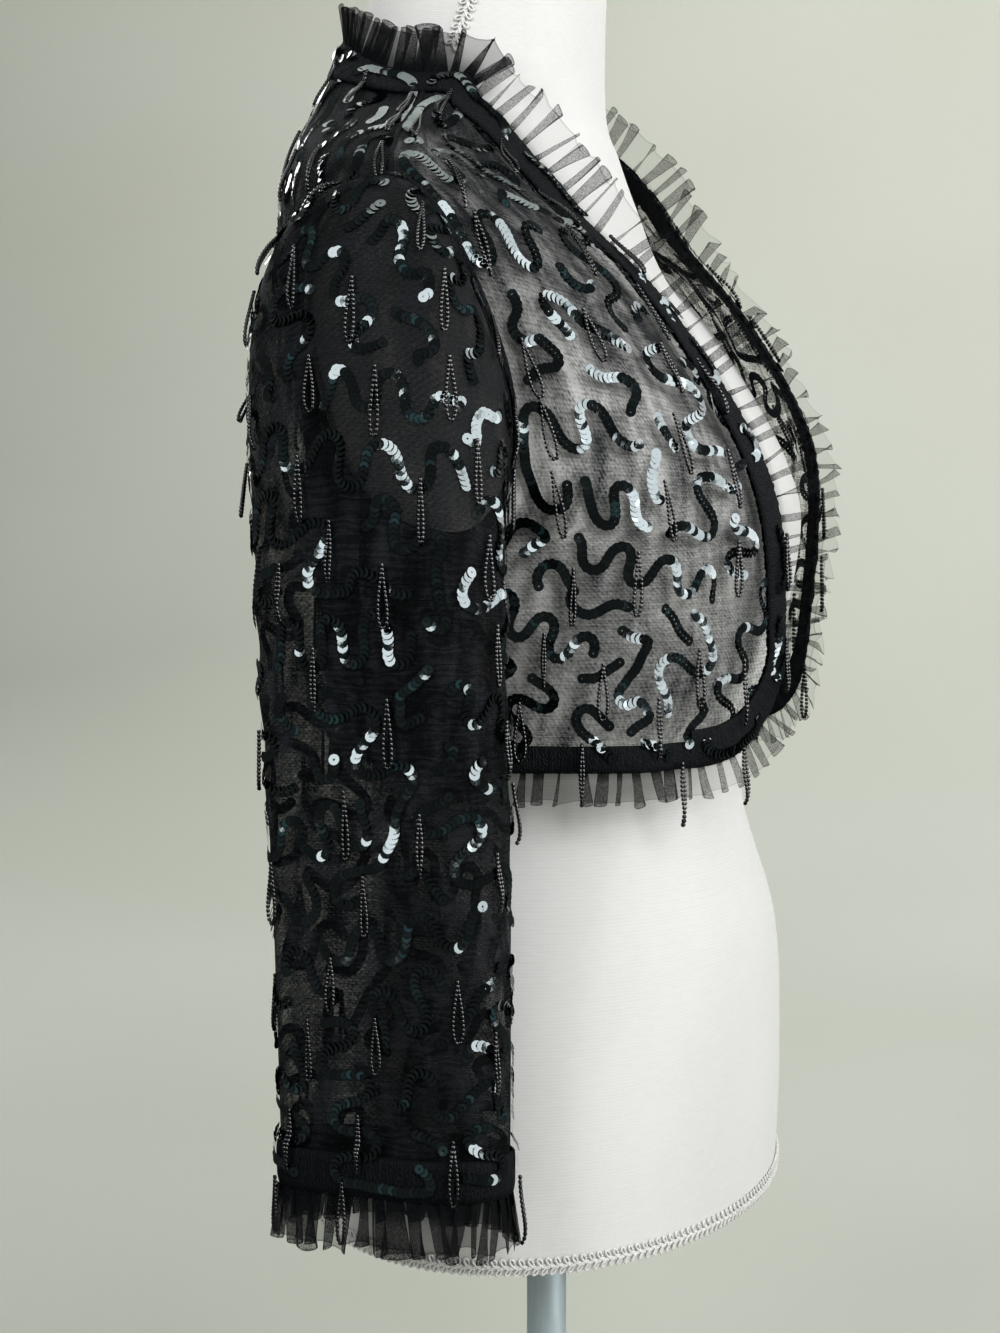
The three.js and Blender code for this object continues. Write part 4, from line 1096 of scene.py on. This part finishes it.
class CARDIGAN_OT_ruffles(bpy.types.Operator):
    """Pleats the net ruffles along the neck, fronts, hem and cuffs"""

    bl_idname = "cardigan.ruffles"
    bl_label = "Ruffles"

    def execute(self, context):
        wide, close = sizes().pleat_pitch / MM, sizes().close_pitch / MM
        sheer = ruffle_finish("pleated net ruffle", sizes().ruffle_cover)
        hem = ruffle_finish("hem pleated net", sizes().hem_ruffle_cover)
        past_seam = 6.0
        back_start, back_end = LEFT_NECK - EDGE_LENGTH - past_seam, RIGHT_NECK + past_seam
        upper = "front_and_neck_ruffle", "front_and_neck_binding"
        for name, start, end, seed, pitch, depth, finish, joins in (
            ("back_neck_frill", back_start, back_end, 61, close, 0.62, close_ruffle_finish(), upper),
            ("front_frill_right", back_end, HEM_FROM, 11, wide, 0.37, sheer, upper),
            ("front_frill_left", HEM_TO - EDGE_LENGTH, back_start, 21, wide, 0.37, sheer, upper),
            ("hem_frill", HEM_FROM, HEM_TO, 31, wide, 0.42, hem, ("hem_ruffle", "hem_binding")),
        ):
            edge_ruffle(name, start, end, seed, pitch, depth, finish, *joins)
        lean = math.radians(CUFF_RUFFLE_LEAN)
        turns = np.linspace(0, TURN, CUFF_PLEATS * PLEAT_STEPS + 1)
        for side, (surface, outward) in SLEEVE_SURFACES.items():
            point, ahead, out = cuff_frame(surface, turns)
            run = np.array([0, 0, -math.cos(lean)]) + out * math.sin(lean)
            phase = CUFF_PLEATS * turns + 0.9 * np.sin(3 * turns) + 0.7 * np.sin(8 * turns + 1)
            depth = 0.66 + 0.16 * np.sin(5 * turns) + 0.1 * np.sin(11 * turns)
            width = CUFF_RUFFLE_WIDTH * (1 + 0.05 * np.sin(13 * turns))
            frame = point - np.array([0, 0, RUFFLE_START]), ahead, out, run
            pleated(f"cuff_frill_{side}", frame, width, phase, close, depth, 81, close_ruffle_finish(),
                    f"cuff_ruffle_{side}", outward > 0)
        return {"FINISHED"}


# ---------- sequins and bead loops ----------


class Patch:
    """A stretch of cloth to be trimmed: a surface of (u, v), the ends of u and v, whether u goes round and
    round, which places are free, and how many millimetres a unit of u and of v are worth there."""

    def __init__(self, name, surface, outward, u_ends, v_ends, free, round_it=False):
        self.name, self.surface, self.outward, self.round_it = name, surface, outward, round_it
        self.u_ends, self.v_ends, self.free = u_ends, v_ends, free
        self.shape = (160, 150)
        u = np.linspace(*u_ends, self.shape[0])[:, None]
        v = np.linspace(*v_ends, self.shape[1])[None]
        self.points = surface(u, v)
        step = 1e-3
        self.worth = np.stack([
            np.linalg.norm(surface(u + step, v) - self.points, axis=-1) / step,
            np.linalg.norm(surface(u, v) - surface(u, v - step), axis=-1) / step,
        ], -1)

    def calm(self, v):
        """Whether the lines run nearly straight down here, as they do on the shoulders."""
        return not self.round_it and v < CALM_STATION

    def look(self, table, u, v):
        """The nearest entry of a table over the patch."""
        lengths = self.u_ends[1] - self.u_ends[0], self.v_ends[1] - self.v_ends[0]
        across = (u - self.u_ends[0]) / lengths[0]
        across = np.mod(across, 1) if self.round_it else np.clip(across, 0, 1)
        down = np.clip((v - self.v_ends[0]) / lengths[1], 0, 1)
        i = np.rint(across * (self.shape[0] - 1)).astype(int)
        j = np.rint(down * (self.shape[1] - 1)).astype(int)
        return table[i, j]


def from_edge(angle, station):
    """About how many millimetres a place lies inside the front edges, the hem and the neck edge."""
    a, left = from_front(angle)
    side = (a - edge_angle(left, np.clip(station, NECK, HEM))) * ring_at(CLOTH_RINGS, station)[..., 3]
    hem = (HEM - station) * (CLOTH_RINGS[10, 0] - CLOTH_RINGS[11, 0])
    return np.minimum(np.minimum(side, hem), (station - NECK) * (CLOTH_RINGS[2, 0] - CLOTH_RINGS[3, 0]))


def over_body(angle, station, lift=0.0):
    """The body's net, raised where the binding lies on it."""
    return on_body(angle, station, lift + OVER_BINDING * (1 - smooth(from_edge(angle, station), *BINDING_INSIDE)))


def over_sleeve(turn, along, lift=0.0):
    """The right sleeve's net, raised where the cuff's binding lies on it."""
    return on_sleeve(turn, along, lift + OVER_CUFF * smooth(along, 1.9, 1.925))


def front_free(left):
    """Where a front may be trimmed: inside its edges and its armhole."""
    def free(u, v):
        a = TURN - u if left else u
        outer = (front_to(v) - a) * ring_at(CLOTH_RINGS, v)[..., 3] > SEAM_MARGIN
        return outer & (from_edge(u, v) > EDGE_MARGIN)

    return free


def back_free(u, v):
    """Where the back may be trimmed."""
    a, _ = from_front(u)
    inner = (a - back_from(v)) * ring_at(CLOTH_RINGS, v)[..., 3] > SEAM_MARGIN
    return inner & (from_edge(u, v) > BACK_MARGIN)


def sleeve_free(u, v):
    """Where a sleeve may be trimmed."""
    return (v > 0.03) & (v < 1.985)


def patches():
    """The five pieces of cloth that are trimmed, on the net and over its bindings."""
    whole = (NECK, HEM)
    return (
        Patch("back", over_body, 1, (QUARTER, TURN - QUARTER), whole, back_free),
        Patch("front_right", over_body, 1, (0.2, QUARTER), whole, front_free(False)),
        Patch("front_left", over_body, 1, (TURN - QUARTER, TURN - 0.2), whole, front_free(True)),
        Patch("sleeve_right", over_sleeve, -1, (0, TURN), (0, 2), sleeve_free, True),
        Patch("sleeve_left", mirrored(over_sleeve), 1, (0, TURN), (0, 2), sleeve_free, True),
    )


def wander(patch, rng, pitch, gap, tries):
    """Winding lines that never cross. Each starts at a free place and swings about a drifting heading by a
    sine of the distance walked; it turns aside where another line is nearer than the gap, and ends where
    every way is blocked. The lines as arrays of (u, v)."""
    taken = np.empty((0, 3))
    lines = []
    swerves = np.radians([0, 22, -22, 45, -45, 75, -75, 110, -110])
    for _ in range(tries):
        u, v = rng.uniform(*patch.u_ends), rng.uniform(*patch.v_ends)
        start = patch.look(patch.points, u, v)
        if not patch.free(u, v) or (len(taken) and np.min(np.sum((taken - start) ** 2, 1)) < (1.15 * gap) ** 2):
            continue
        calm = patch.calm(v)
        base = rng.uniform(0, TURN) if not calm else rng.choice((-1, 1)) * QUARTER + rng.normal(0, 0.25)
        swing = rng.uniform(0.4, 0.8) if calm else rng.uniform(1.3, 1.9)
        beat, phase = rng.uniform(44, 66), rng.uniform(0, TURN)
        turn_side = rng.choice((-1, 1))
        line, places = [(u, v)], [start]
        for count in range(int(rng.uniform(*LINE_POINTS))):
            walked = count * pitch
            wish = base + swing * math.sin(TURN * walked / beat + phase)
            headings = wish + turn_side * swerves
            worth = patch.look(patch.worth, u, v)
            move = np.stack([np.cos(headings) / worth[0], np.sin(headings) / worth[1]], -1)
            near, far = (u, v) + move * pitch, (u, v) + move * 2.6 * pitch
            own = np.array(places[:-5]).reshape(-1, 3)
            others = np.concatenate([taken, own])
            good = patch.free(near[:, 0], near[:, 1]) & patch.free(far[:, 0], far[:, 1])
            if len(others):
                for place, least in ((near, gap), (far, 0.92 * gap)):
                    at = patch.look(patch.points, place[:, 0], place[:, 1])
                    room = np.min(np.sum((at[:, None] - others[None]) ** 2, -1), axis=1)
                    good &= room > least**2
            if not good.any():
                break
            pick = int(np.argmax(good))
            base += 0.35 * (headings[pick] - wish) + rng.normal(0, 0.05)
            u, v = near[pick]
            line.append((u, v))
            places.append(patch.look(patch.points, u, v))
        if len(line) >= LEAST_POINTS:
            lines.append(np.array(line))
            taken = np.concatenate([taken, np.array(places)])
    return lines


def sew_along(patch, lines, pitch):
    """Places at an even pitch along smoothed lines: their points, directions, outward normals, and the
    distance along and number of their line."""
    found = []
    for number, line in enumerate(lines):
        padded = np.concatenate([line[:1], line, line[-1:]])
        line = (padded[:-2] + 2 * padded[1:-1] + padded[2:]) / 4
        fine = np.arange(0, len(line) - 1 + 1e-6, 0.25)
        u = np.interp(fine, np.arange(len(line)), line[:, 0])
        v = np.interp(fine, np.arange(len(line)), line[:, 1])
        run = lengths_along(patch.surface(u, v))
        at = np.arange(0, run[-1], pitch)
        found.append(np.stack([np.interp(at, run, u), np.interp(at, run, v), at, at * 0 + number], -1))
    u, v, walked, number = np.concatenate(found).T
    point = patch.surface(u, v)
    ahead = np.roll(point, -1, 0) - point
    last = np.roll(number, -1) != number
    ahead[last] = (point - np.roll(point, 1, 0))[last]
    normal = surface_normal(patch.surface, u, v, patch.outward)
    ahead = unit(ahead - normal * dot(ahead, normal))
    return point, ahead, normal, walked, number


def sequin_shape(width):
    """A flat sequin: a ring of points at its rim, which is raised very slightly, and one round its hole."""
    points = spun([(width / 2, SEQUIN_CUP), (SEQUIN_HOLE, 0)], SEQUIN_SIDES)
    ring = np.arange(SEQUIN_SIDES)
    following = (ring + 1) % SEQUIN_SIDES
    return points.reshape(-1, 3), np.stack([ring, following, SEQUIN_SIDES + following, SEQUIN_SIDES + ring], -1)


class CARDIGAN_OT_sequins(bpy.types.Operator):
    """Sews overlapping sequins along winding lines on every panel and sleeve"""

    bl_idname = "cardigan.sequins"
    bl_label = "Sequins"

    def execute(self, context):
        pitch, gap = sizes().sequin_pitch / MM, sizes().line_gap / MM
        shape, faces = sequin_shape(sizes().sequin_width / MM)
        finish = finish_of("black sequin", sequin_material, tone("sequin"), tone("glint"))
        for k, patch in enumerate(patches()):
            rng = np.random.default_rng(400 + k)
            lines = wander(patch, rng, LINE_STEP, gap, LINE_TRIES)
            point, ahead, normal, walked, number = sew_along(patch, lines, pitch)
            across = np.cross(normal, ahead)
            count = len(point)
            roll = SEQUIN_ROLL * drift(walked + 613 * number, 7 + k, TILT_REACH)[:, None]
            tilt = SEQUIN_TILT + SEQUIN_TILT_DRIFT * drift(walked + 97 * number, 17 + k, TILT_REACH)[:, None]
            jitter = rng.normal(0, SEQUIN_JITTER, (count, 3))
            face_up = unit(normal + ahead * tilt + across * roll + jitter)
            forward = unit(ahead - face_up * dot(ahead, face_up))
            axes = np.stack([forward, np.cross(face_up, forward), face_up], 1)
            tints = np.clip(0.42 + 0.3 * drift(walked + 31 * number, 27 + k, 40) + rng.normal(0, 0.2, count), 0, 1)
            name = f"sequins_{patch.name}"
            piece = copies_piece(name, shape, faces, point + normal * SEQUIN_LIFT, axes, finish, tints)
            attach(piece, "root")
        return {"FINISHED"}


def bead_shape(width):
    """A seed bead: three rings of six points, the middle one wide and the ends drawn in."""
    rings = []
    for along, radius in ((-0.4, 0.34), (0.0, 0.5), (0.4, 0.34)):
        turns = np.arange(6) * TURN / 6
        rings.append(np.stack([0 * turns + along, radius * np.cos(turns), radius * np.sin(turns)], -1))
    return np.concatenate(rings) * width, grid_faces(3, 6, True, True)[0]


def scatter(patch, rng, gap, tries):
    """Free places (u, v) that keep a gap from each other, thrown at random."""
    kept, points = [], np.empty((0, 3))
    for _ in range(tries):
        u, v = rng.uniform(*patch.u_ends), rng.uniform(*patch.v_ends)
        at = patch.look(patch.points, u, v)
        if patch.free(u, v) and (not len(points) or np.min(np.sum((points - at) ** 2, 1)) > gap**2):
            kept.append((u, v))
            points = np.vstack([points, at])
    return np.array(kept)


def hanging_lines(patch, places, reach, v_end):
    """Where a strand hangs from each place: down the cloth in small steps, then pushed outwards as far as the
    cloth has already come, so that it hangs upright where the cloth falls away; past the end of the cloth it
    drops straight."""
    steps = 70
    u, v = places[:, :1], places[:, 1:]
    worth = patch.look(patch.worth, u, v)[..., 1]
    down = np.linspace(0, reach, steps)
    ahead_v = v + down / worth
    held = np.minimum(ahead_v, v_end)
    line = patch.surface(u, held, BEAD_LIFT)
    line[..., 2] -= (ahead_v - held) * worth
    out = surface_normal(patch.surface, places[:, 0], places[:, 1], patch.outward)
    level = unit(out * np.array([1.0, 1, 0]))[:, None]
    reached = np.sum((line - line[:, :1]) * level, -1)
    line += level * (np.maximum.accumulate(reached, axis=1) - reached)[..., None]
    return line, level, out[:, None]


class CARDIGAN_OT_bead_loops(bpy.types.Operator):
    """Hangs narrow loops of black seed beads on every panel and sleeve"""

    bl_idname = "cardigan.bead_loops"
    bl_label = "Bead loops"

    def execute(self, context):
        """Each loop is a teardrop: its depth is one plus the cosine, and its width the sine times that, of an
        angle that runs from minus half a turn to half a turn; the depth is laid along a hanging line."""
        drop, width = sizes().loop_drop / MM, sizes().bead_width / MM
        shape, faces = bead_shape(width)
        finish = finish_of("jet glass bead", bead_material, tone("bead"))
        for k, patch in enumerate(patches()):
            rng = np.random.default_rng(70 + k)
            places = scatter(patch, rng, sizes().loop_gap / MM, LOOP_TRIES)
            count = len(places)
            line, level, out = hanging_lines(patch, places, 1.25 * drop, 1.97 if patch.round_it else HEM)
            angle = np.linspace(-HALF, HALF, 200)
            depth = (1 + np.cos(angle)) / 2
            sway = np.sin(angle) * (1 + np.cos(angle)) / 1.3
            long = drop * rng.uniform(*LOOP_LENGTH, (count, 1))
            wide = rng.uniform(*LOOP_HALF_WIDTH, (count, 1))
            steps = np.linalg.norm(np.diff(line, axis=1), axis=-1)
            run = np.concatenate([np.zeros((count, 1)), np.cumsum(steps, axis=1)], axis=1)
            sideways = unit(np.cross(level, np.array([0, 0, 1.0])))
            twist = rng.normal(0, LOOP_TWIST, (count, 1)) * depth * long
            centres, heads = [], []
            for n in range(count):
                at = depth * long[n]
                middle = read_along(at, run[n], line[n])
                shift = (wide[n] * sway)[:, None]
                lay = sideways[n] * np.cos(twist[n])[:, None] * shift
                lay = lay + out[n] * np.abs(np.sin(twist[n])[:, None] * shift)
                loop = middle + lay
                loop_run = lengths_along(loop)
                spots = read_along((np.arange(BEADS) + 0.5) / BEADS * loop_run[-1], loop_run, loop)
                centres.append(spots)
                heads.append(unit(np.gradient(spots, axis=0)))
            centres, heads = np.concatenate(centres), np.concatenate(heads)
            beside = unit(np.cross(heads, np.array([0.31, 0.52, 0.79])))
            axes = np.stack([heads, beside, np.cross(heads, beside)], 1)
            name = f"bead_loops_{patch.name}"
            piece = copies_piece(name, shape, faces, centres, axes, finish, shade=True)
            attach(piece, "root")
        return {"FINISHED"}


# ---------- the dress form ----------


def form_surface(angle, station, lift=0.0):
    """A point of the dress form, lift outside its cover."""
    inside = np.clip(station, 0.01, len(FORM_RINGS) - 1.01)
    return on_ring(FORM_RINGS, angle, station) + ring_normal(FORM_RINGS, angle, inside) * lift


def braid_piece(name, line, up, cut_node):
    """Braid of two cords along a line. Each cord's place swings out to one side and back by a raised cosine
    and forwards and back by a sine, which makes slanting loops; the cords pass over and under each other.
    They are joined up where the line comes back to its start, and otherwise open tubes."""
    cord = sizes().cord_width / MM / 2
    ahead, comes_back = headings_along(line)
    run = lengths_along(line)
    loops = round(run[-1] / BRAID_PITCH)
    at = np.linspace(0, run[-1], loops * BRAID_STEPS + 1)
    if comes_back:
        at = at[:-1]
    middle, forward, out, beside = (read_along(at, run, each) for each in (line, ahead, up, np.cross(ahead, up)))
    points, faces, uvs, start = [], [], [], 0
    for hand, shift in ((1, 0.0), (-1, HALF)):
        phase = TURN * at / run[-1] * loops + shift
        swing = (1 - np.cos(phase)) * BRAID_SWING - BRAID_INSIDE
        slip = BRAID_SLIP * np.sin(phase) + BRAID_SLANT * swing
        over = BRAID_HEIGHT + BRAID_RISE * np.sin(phase + 0.6)
        path = middle + beside * (hand * swing)[:, None] + forward * slip[:, None] + out * over[:, None]
        way = unit(np.gradient(path, axis=0))
        high = unit(out - way * dot(out, way))
        grid = cord_grid(path, np.cross(way, high), high, cord, cord, 6)
        rows, columns = grid.shape[:2]
        quads, row, column = grid_faces(rows + comes_back, columns, True, False)
        faces.append(quads % (rows * columns) + start)
        uvs.append(np.stack([row * 0.25, column * 0.6], -1))
        points.append(grid.reshape(-1, 3))
        start += rows * columns
    finish = finish_of("white gimp cord", braid_material, tone("braid"))
    sewn_on(put_mesh(name, np.concatenate(points), faces, finish, uvs), "braid", cut_node)


def rounded(corner_radius, radius, height, steps=7):
    """Points of a rounded outer corner, from the side to the top."""
    turns = np.linspace(0, QUARTER, steps)
    return [(radius - corner_radius * (1 - math.cos(t)), height - corner_radius * (1 - math.sin(t))) for t in turns]


class CARDIGAN_OT_dress_form(bpy.types.Operator):
    """Makes the covered torso, its braids, the pole and the base"""

    bl_idname = "cardigan.dress_form"
    bl_label = "Dress form"

    def execute(self, context):
        turns = np.arange(160) * TURN / 160
        last = len(FORM_RINGS) - 1
        stations = np.linspace(0.03, last - 0.04, 190)
        rows = [form_surface(turns, 0.0 * turns) * (0.9, 0.9, 1) + (0, 2.4, 0)]
        rows += [form_surface(turns, station + 0 * turns) for station in stations]
        rows += [form_surface(turns, last + 0 * turns) * (k, k, 1) for k in (0.988, 0.965)]
        finish = finish_of("off-white woven cover", linen_material, tone("linen"))
        cover = grid_piece("torso_cover", np.array(rows), finish, (900, 760), joined=True, flip=True, lids=True)
        sewn_on(cover, "linen", "form_torso")

        loop = np.linspace(0, TURN, 721)
        low = last - BOTTOM_BRAID_UP / (FORM_RINGS[-2, 0] - FORM_RINGS[-1, 0])
        up = ring_normal(FORM_RINGS, loop, low)
        braid_piece("bottom_braid", form_surface(loop, low, 0.2), up, "form_bottom_braid")
        station = np.linspace(NECK_BRAID_LINE[0, 0], NECK_BRAID_LINE[-1, 0], 90)
        angle = np.radians(np.interp(station, NECK_BRAID_LINE[:, 0], NECK_BRAID_LINE[:, 1]))
        for side, flip in SIDES:
            up = ring_normal(FORM_RINGS, angle, station) * flip
            line = form_surface(angle, station, 0.2) * flip
            braid_piece(f"neck_braid_{side}", line, up, f"form_neck_braid_{side}")

        steel = finish_of("satin steel", steel_material, tone("steel"))
        foot = [(BASE_RADIUS - 10, 0), (BASE_RADIUS - 1.5, 0.4), (BASE_RADIUS, 2)]
        top = [(40, BASE_HEIGHT), (POLE_RADIUS + 2, BASE_HEIGHT)]
        pole = [(POLE_RADIUS - 0.3, BASE_HEIGHT + 0.3), (POLE_RADIUS, BASE_HEIGHT + 0.8),
                (POLE_RADIUS, POLE_TOP - 0.5), (POLE_RADIUS - 0.3, POLE_TOP)]
        for name, outline, cut_node, columns in (
            ("stand_base", foot + rounded(BASE_ROUND, BASE_RADIUS, BASE_HEIGHT) + top, "form_base", 128),
            ("stand_pole", pole, "form_pole", 48),
        ):
            points = spun(outline, columns)
            piece = grid_piece(name, points, steel, joined=True, flip=True, lids=True, raised=False)
            sewn_on(piece, "steel", cut_node)
        return {"FINISHED"}


# ---------- the studio ----------

CAMERA_AWAY, CAMERA_HEIGHT, CAMERA_ASIDE = 1.2, 0.666, 15  # metres, and degrees in front of a side view
FILM, FRAME_SIDE, FOCAL = 36, 1333, 2200  # the film's width, and in the frame's own units its side and the focus
LOOK_LEFT, LOOK_DOWN = 48, 207.5  # where the look goes off level and off the upright axis, in the same units


def area_light(name, place, target, size, power, tint, mirrored_only):
    """A soft rectangular lamp at a place, facing a target, all in metres; one that is mirrored only shows in
    gloss and does not light matt surfaces."""
    data = bpy.data.lights.new(name, "AREA")
    data.shape, data.size, data.size_y = "RECTANGLE", size[0], size[1]
    data.energy, data.color = power, tint
    lamp = bpy.data.objects.new(name, data)
    lamp.location = place
    lamp.rotation_mode = "QUATERNION"
    lamp.rotation_quaternion = (Vector(target) - Vector(place)).to_track_quat("-Z", "Y")
    lamp.visible_camera = False
    lamp.visible_diffuse = not mirrored_only
    bpy.context.scene.collection.objects.link(lamp)


class CARDIGAN_OT_studio(bpy.types.Operator):
    """Sets up the pale floor and wall, the soft lamps and the camera"""

    bl_idname = "cardigan.studio"
    bl_label = "Studio"

    def execute(self, context):
        """The floor is flat round the form and sweeps up all round into a plain wall: a profile of radius and
        height, carried round a circle."""
        foot, bend, top = 1500, 2400, 4000
        sweep = [(1, 0)] + [(r, 0) for r in np.linspace(200, foot, 12)]
        sweep += [(foot + bend * math.sin(t), bend * (1 - math.cos(t))) for t in np.linspace(0.06, QUARTER, 32)]
        sweep += [(foot + bend, (bend + top) / 2), (foot + bend, top)]
        paint = finish_of("pale studio paint", plaster_material, tone("wall"), tone("wall_shade"))
        floor = grid_piece("studio_floor", spun(sweep, 128), paint, joined=True, flip=True, raised=False)
        floor.visible_glossy = False

        world = bpy.data.worlds.new("soft room light")
        world.use_nodes = True
        world.node_tree.nodes["Background"].inputs["Color"].default_value = (0.92, 1.0, 0.95, 1)
        world.node_tree.nodes["Background"].inputs["Strength"].default_value = 0.13
        context.scene.world = world
        middle = (0, 0, 0.7)
        window, white, warm = (0.74, 0.86), (1, 1, 1), (1, 1, 0.97)
        for name, place, target, size, power, tint, mirrored_only in (
            ("side_window", (-1.66, 0.66, 1.45), middle, window, 15, white, False),
            ("near_window", (-1.45, -1.05, 1.5), middle, window, 16, white, False),
            ("front_window", (-0.35, -1.75, 1.45), middle, window, 12, white, False),
            ("far_window", (1.1, -1.5, 1.4), middle, window, 6, white, False),
            ("near_screen", (-1.02, -1.54, 1.1), middle, window, 14, white, True),
            ("front_screen", (0.37, -1.78, 1.2), middle, window, 14, white, True),
            ("low_screen", (-0.5, -1.7, 0.35), middle, window, 12, white, True),
            ("ceiling", (0.5, 0.2, 2.3), middle, (1.4, 1.4), 13, (0.97, 1, 0.95), False),
            ("back_window", (1.4, 1.6, 1.5), middle, (0.8, 1.0), 12, white, False),
            ("wall_lamp", (1.9, -0.1, 2.6), (3.5, -0.9, 1.2), (1.6, 1.0), 42, warm, False),
            ("left_wall_lamp", (1.9, 1.5, 2.7), (3.4, 1.7, 1.9), (1.0, 0.8), 9, warm, False),
        ):
            area_light(name, place, target, size, power, tint, mirrored_only)

        lens = bpy.data.cameras.new("viewpoint")
        lens.sensor_fit, lens.sensor_width, lens.lens = "AUTO", FILM, FOCAL * FILM / FRAME_SIDE
        lens.clip_start, lens.clip_end = 0.05, 50
        camera = bpy.data.objects.new("viewpoint", lens)
        aside, yaw, pitch = math.radians(CAMERA_ASIDE), math.atan(LOOK_LEFT / FOCAL), math.atan(LOOK_DOWN / FOCAL)
        outward = Vector((-math.cos(aside), -math.sin(aside), 0))
        right = Vector((math.sin(aside), -math.cos(aside), 0))
        level = -outward * math.cos(yaw) - right * math.sin(yaw)
        look = level * math.cos(pitch) + Vector((0, 0, -math.sin(pitch)))
        place = outward * CAMERA_AWAY + Vector((0, 0, CAMERA_HEIGHT))
        camera.matrix_world = Matrix.Translation(place) @ look.to_track_quat("-Z", "Y").to_matrix().to_4x4()
        context.scene.collection.objects.link(camera)
        context.scene.camera = camera
        context.scene.view_settings.view_transform = "Standard"
        context.scene.view_settings.look = "Medium High Contrast"
        return {"FINISHED"}


# ---------- the add-on ----------

OPERATORS = (
    CARDIGAN_OT_studio,
    CARDIGAN_OT_dress_form,
    CARDIGAN_OT_panels,
    CARDIGAN_OT_sleeves,
    CARDIGAN_OT_seams,
    CARDIGAN_OT_bindings,
    CARDIGAN_OT_ruffles,
    CARDIGAN_OT_sequins,
    CARDIGAN_OT_bead_loops,
)


class CARDIGAN_PT_makers_table(bpy.types.Panel):
    """Lists the cardigan's pieces, sizes and colours"""

    bl_label = "Cardigan"
    bl_idname = "CARDIGAN_PT_makers_table"
    bl_space_type = "VIEW_3D"
    bl_region_type = "UI"
    bl_category = "Cardigan"

    def draw(self, context):
        for operator in OPERATORS:
            self.layout.operator(operator.bl_idname)
        for group in (context.scene.cardigan_sizes, context.scene.cardigan_colours):
            for key in group.__annotations__:
                self.layout.prop(group, key)


CLASSES = (CardiganSizes, CardiganColours, *OPERATORS, CARDIGAN_PT_makers_table)


def register():
    """Adds the classes, and their settings to the scene."""
    for one in CLASSES:
        bpy.utils.register_class(one)
    bpy.types.Scene.cardigan_sizes = bpy.props.PointerProperty(type=CardiganSizes)
    bpy.types.Scene.cardigan_colours = bpy.props.PointerProperty(type=CardiganColours)


def unregister():
    """Takes them away again."""
    del bpy.types.Scene.cardigan_colours
    del bpy.types.Scene.cardigan_sizes
    for one in reversed(CLASSES):
        bpy.utils.unregister_class(one)


def main():
    """Makes everything."""
    register()
    for operator in OPERATORS:
        group, name = operator.bl_idname.split(".")
        getattr(getattr(bpy.ops, group), name)()


if __name__ == "__main__":
    main()
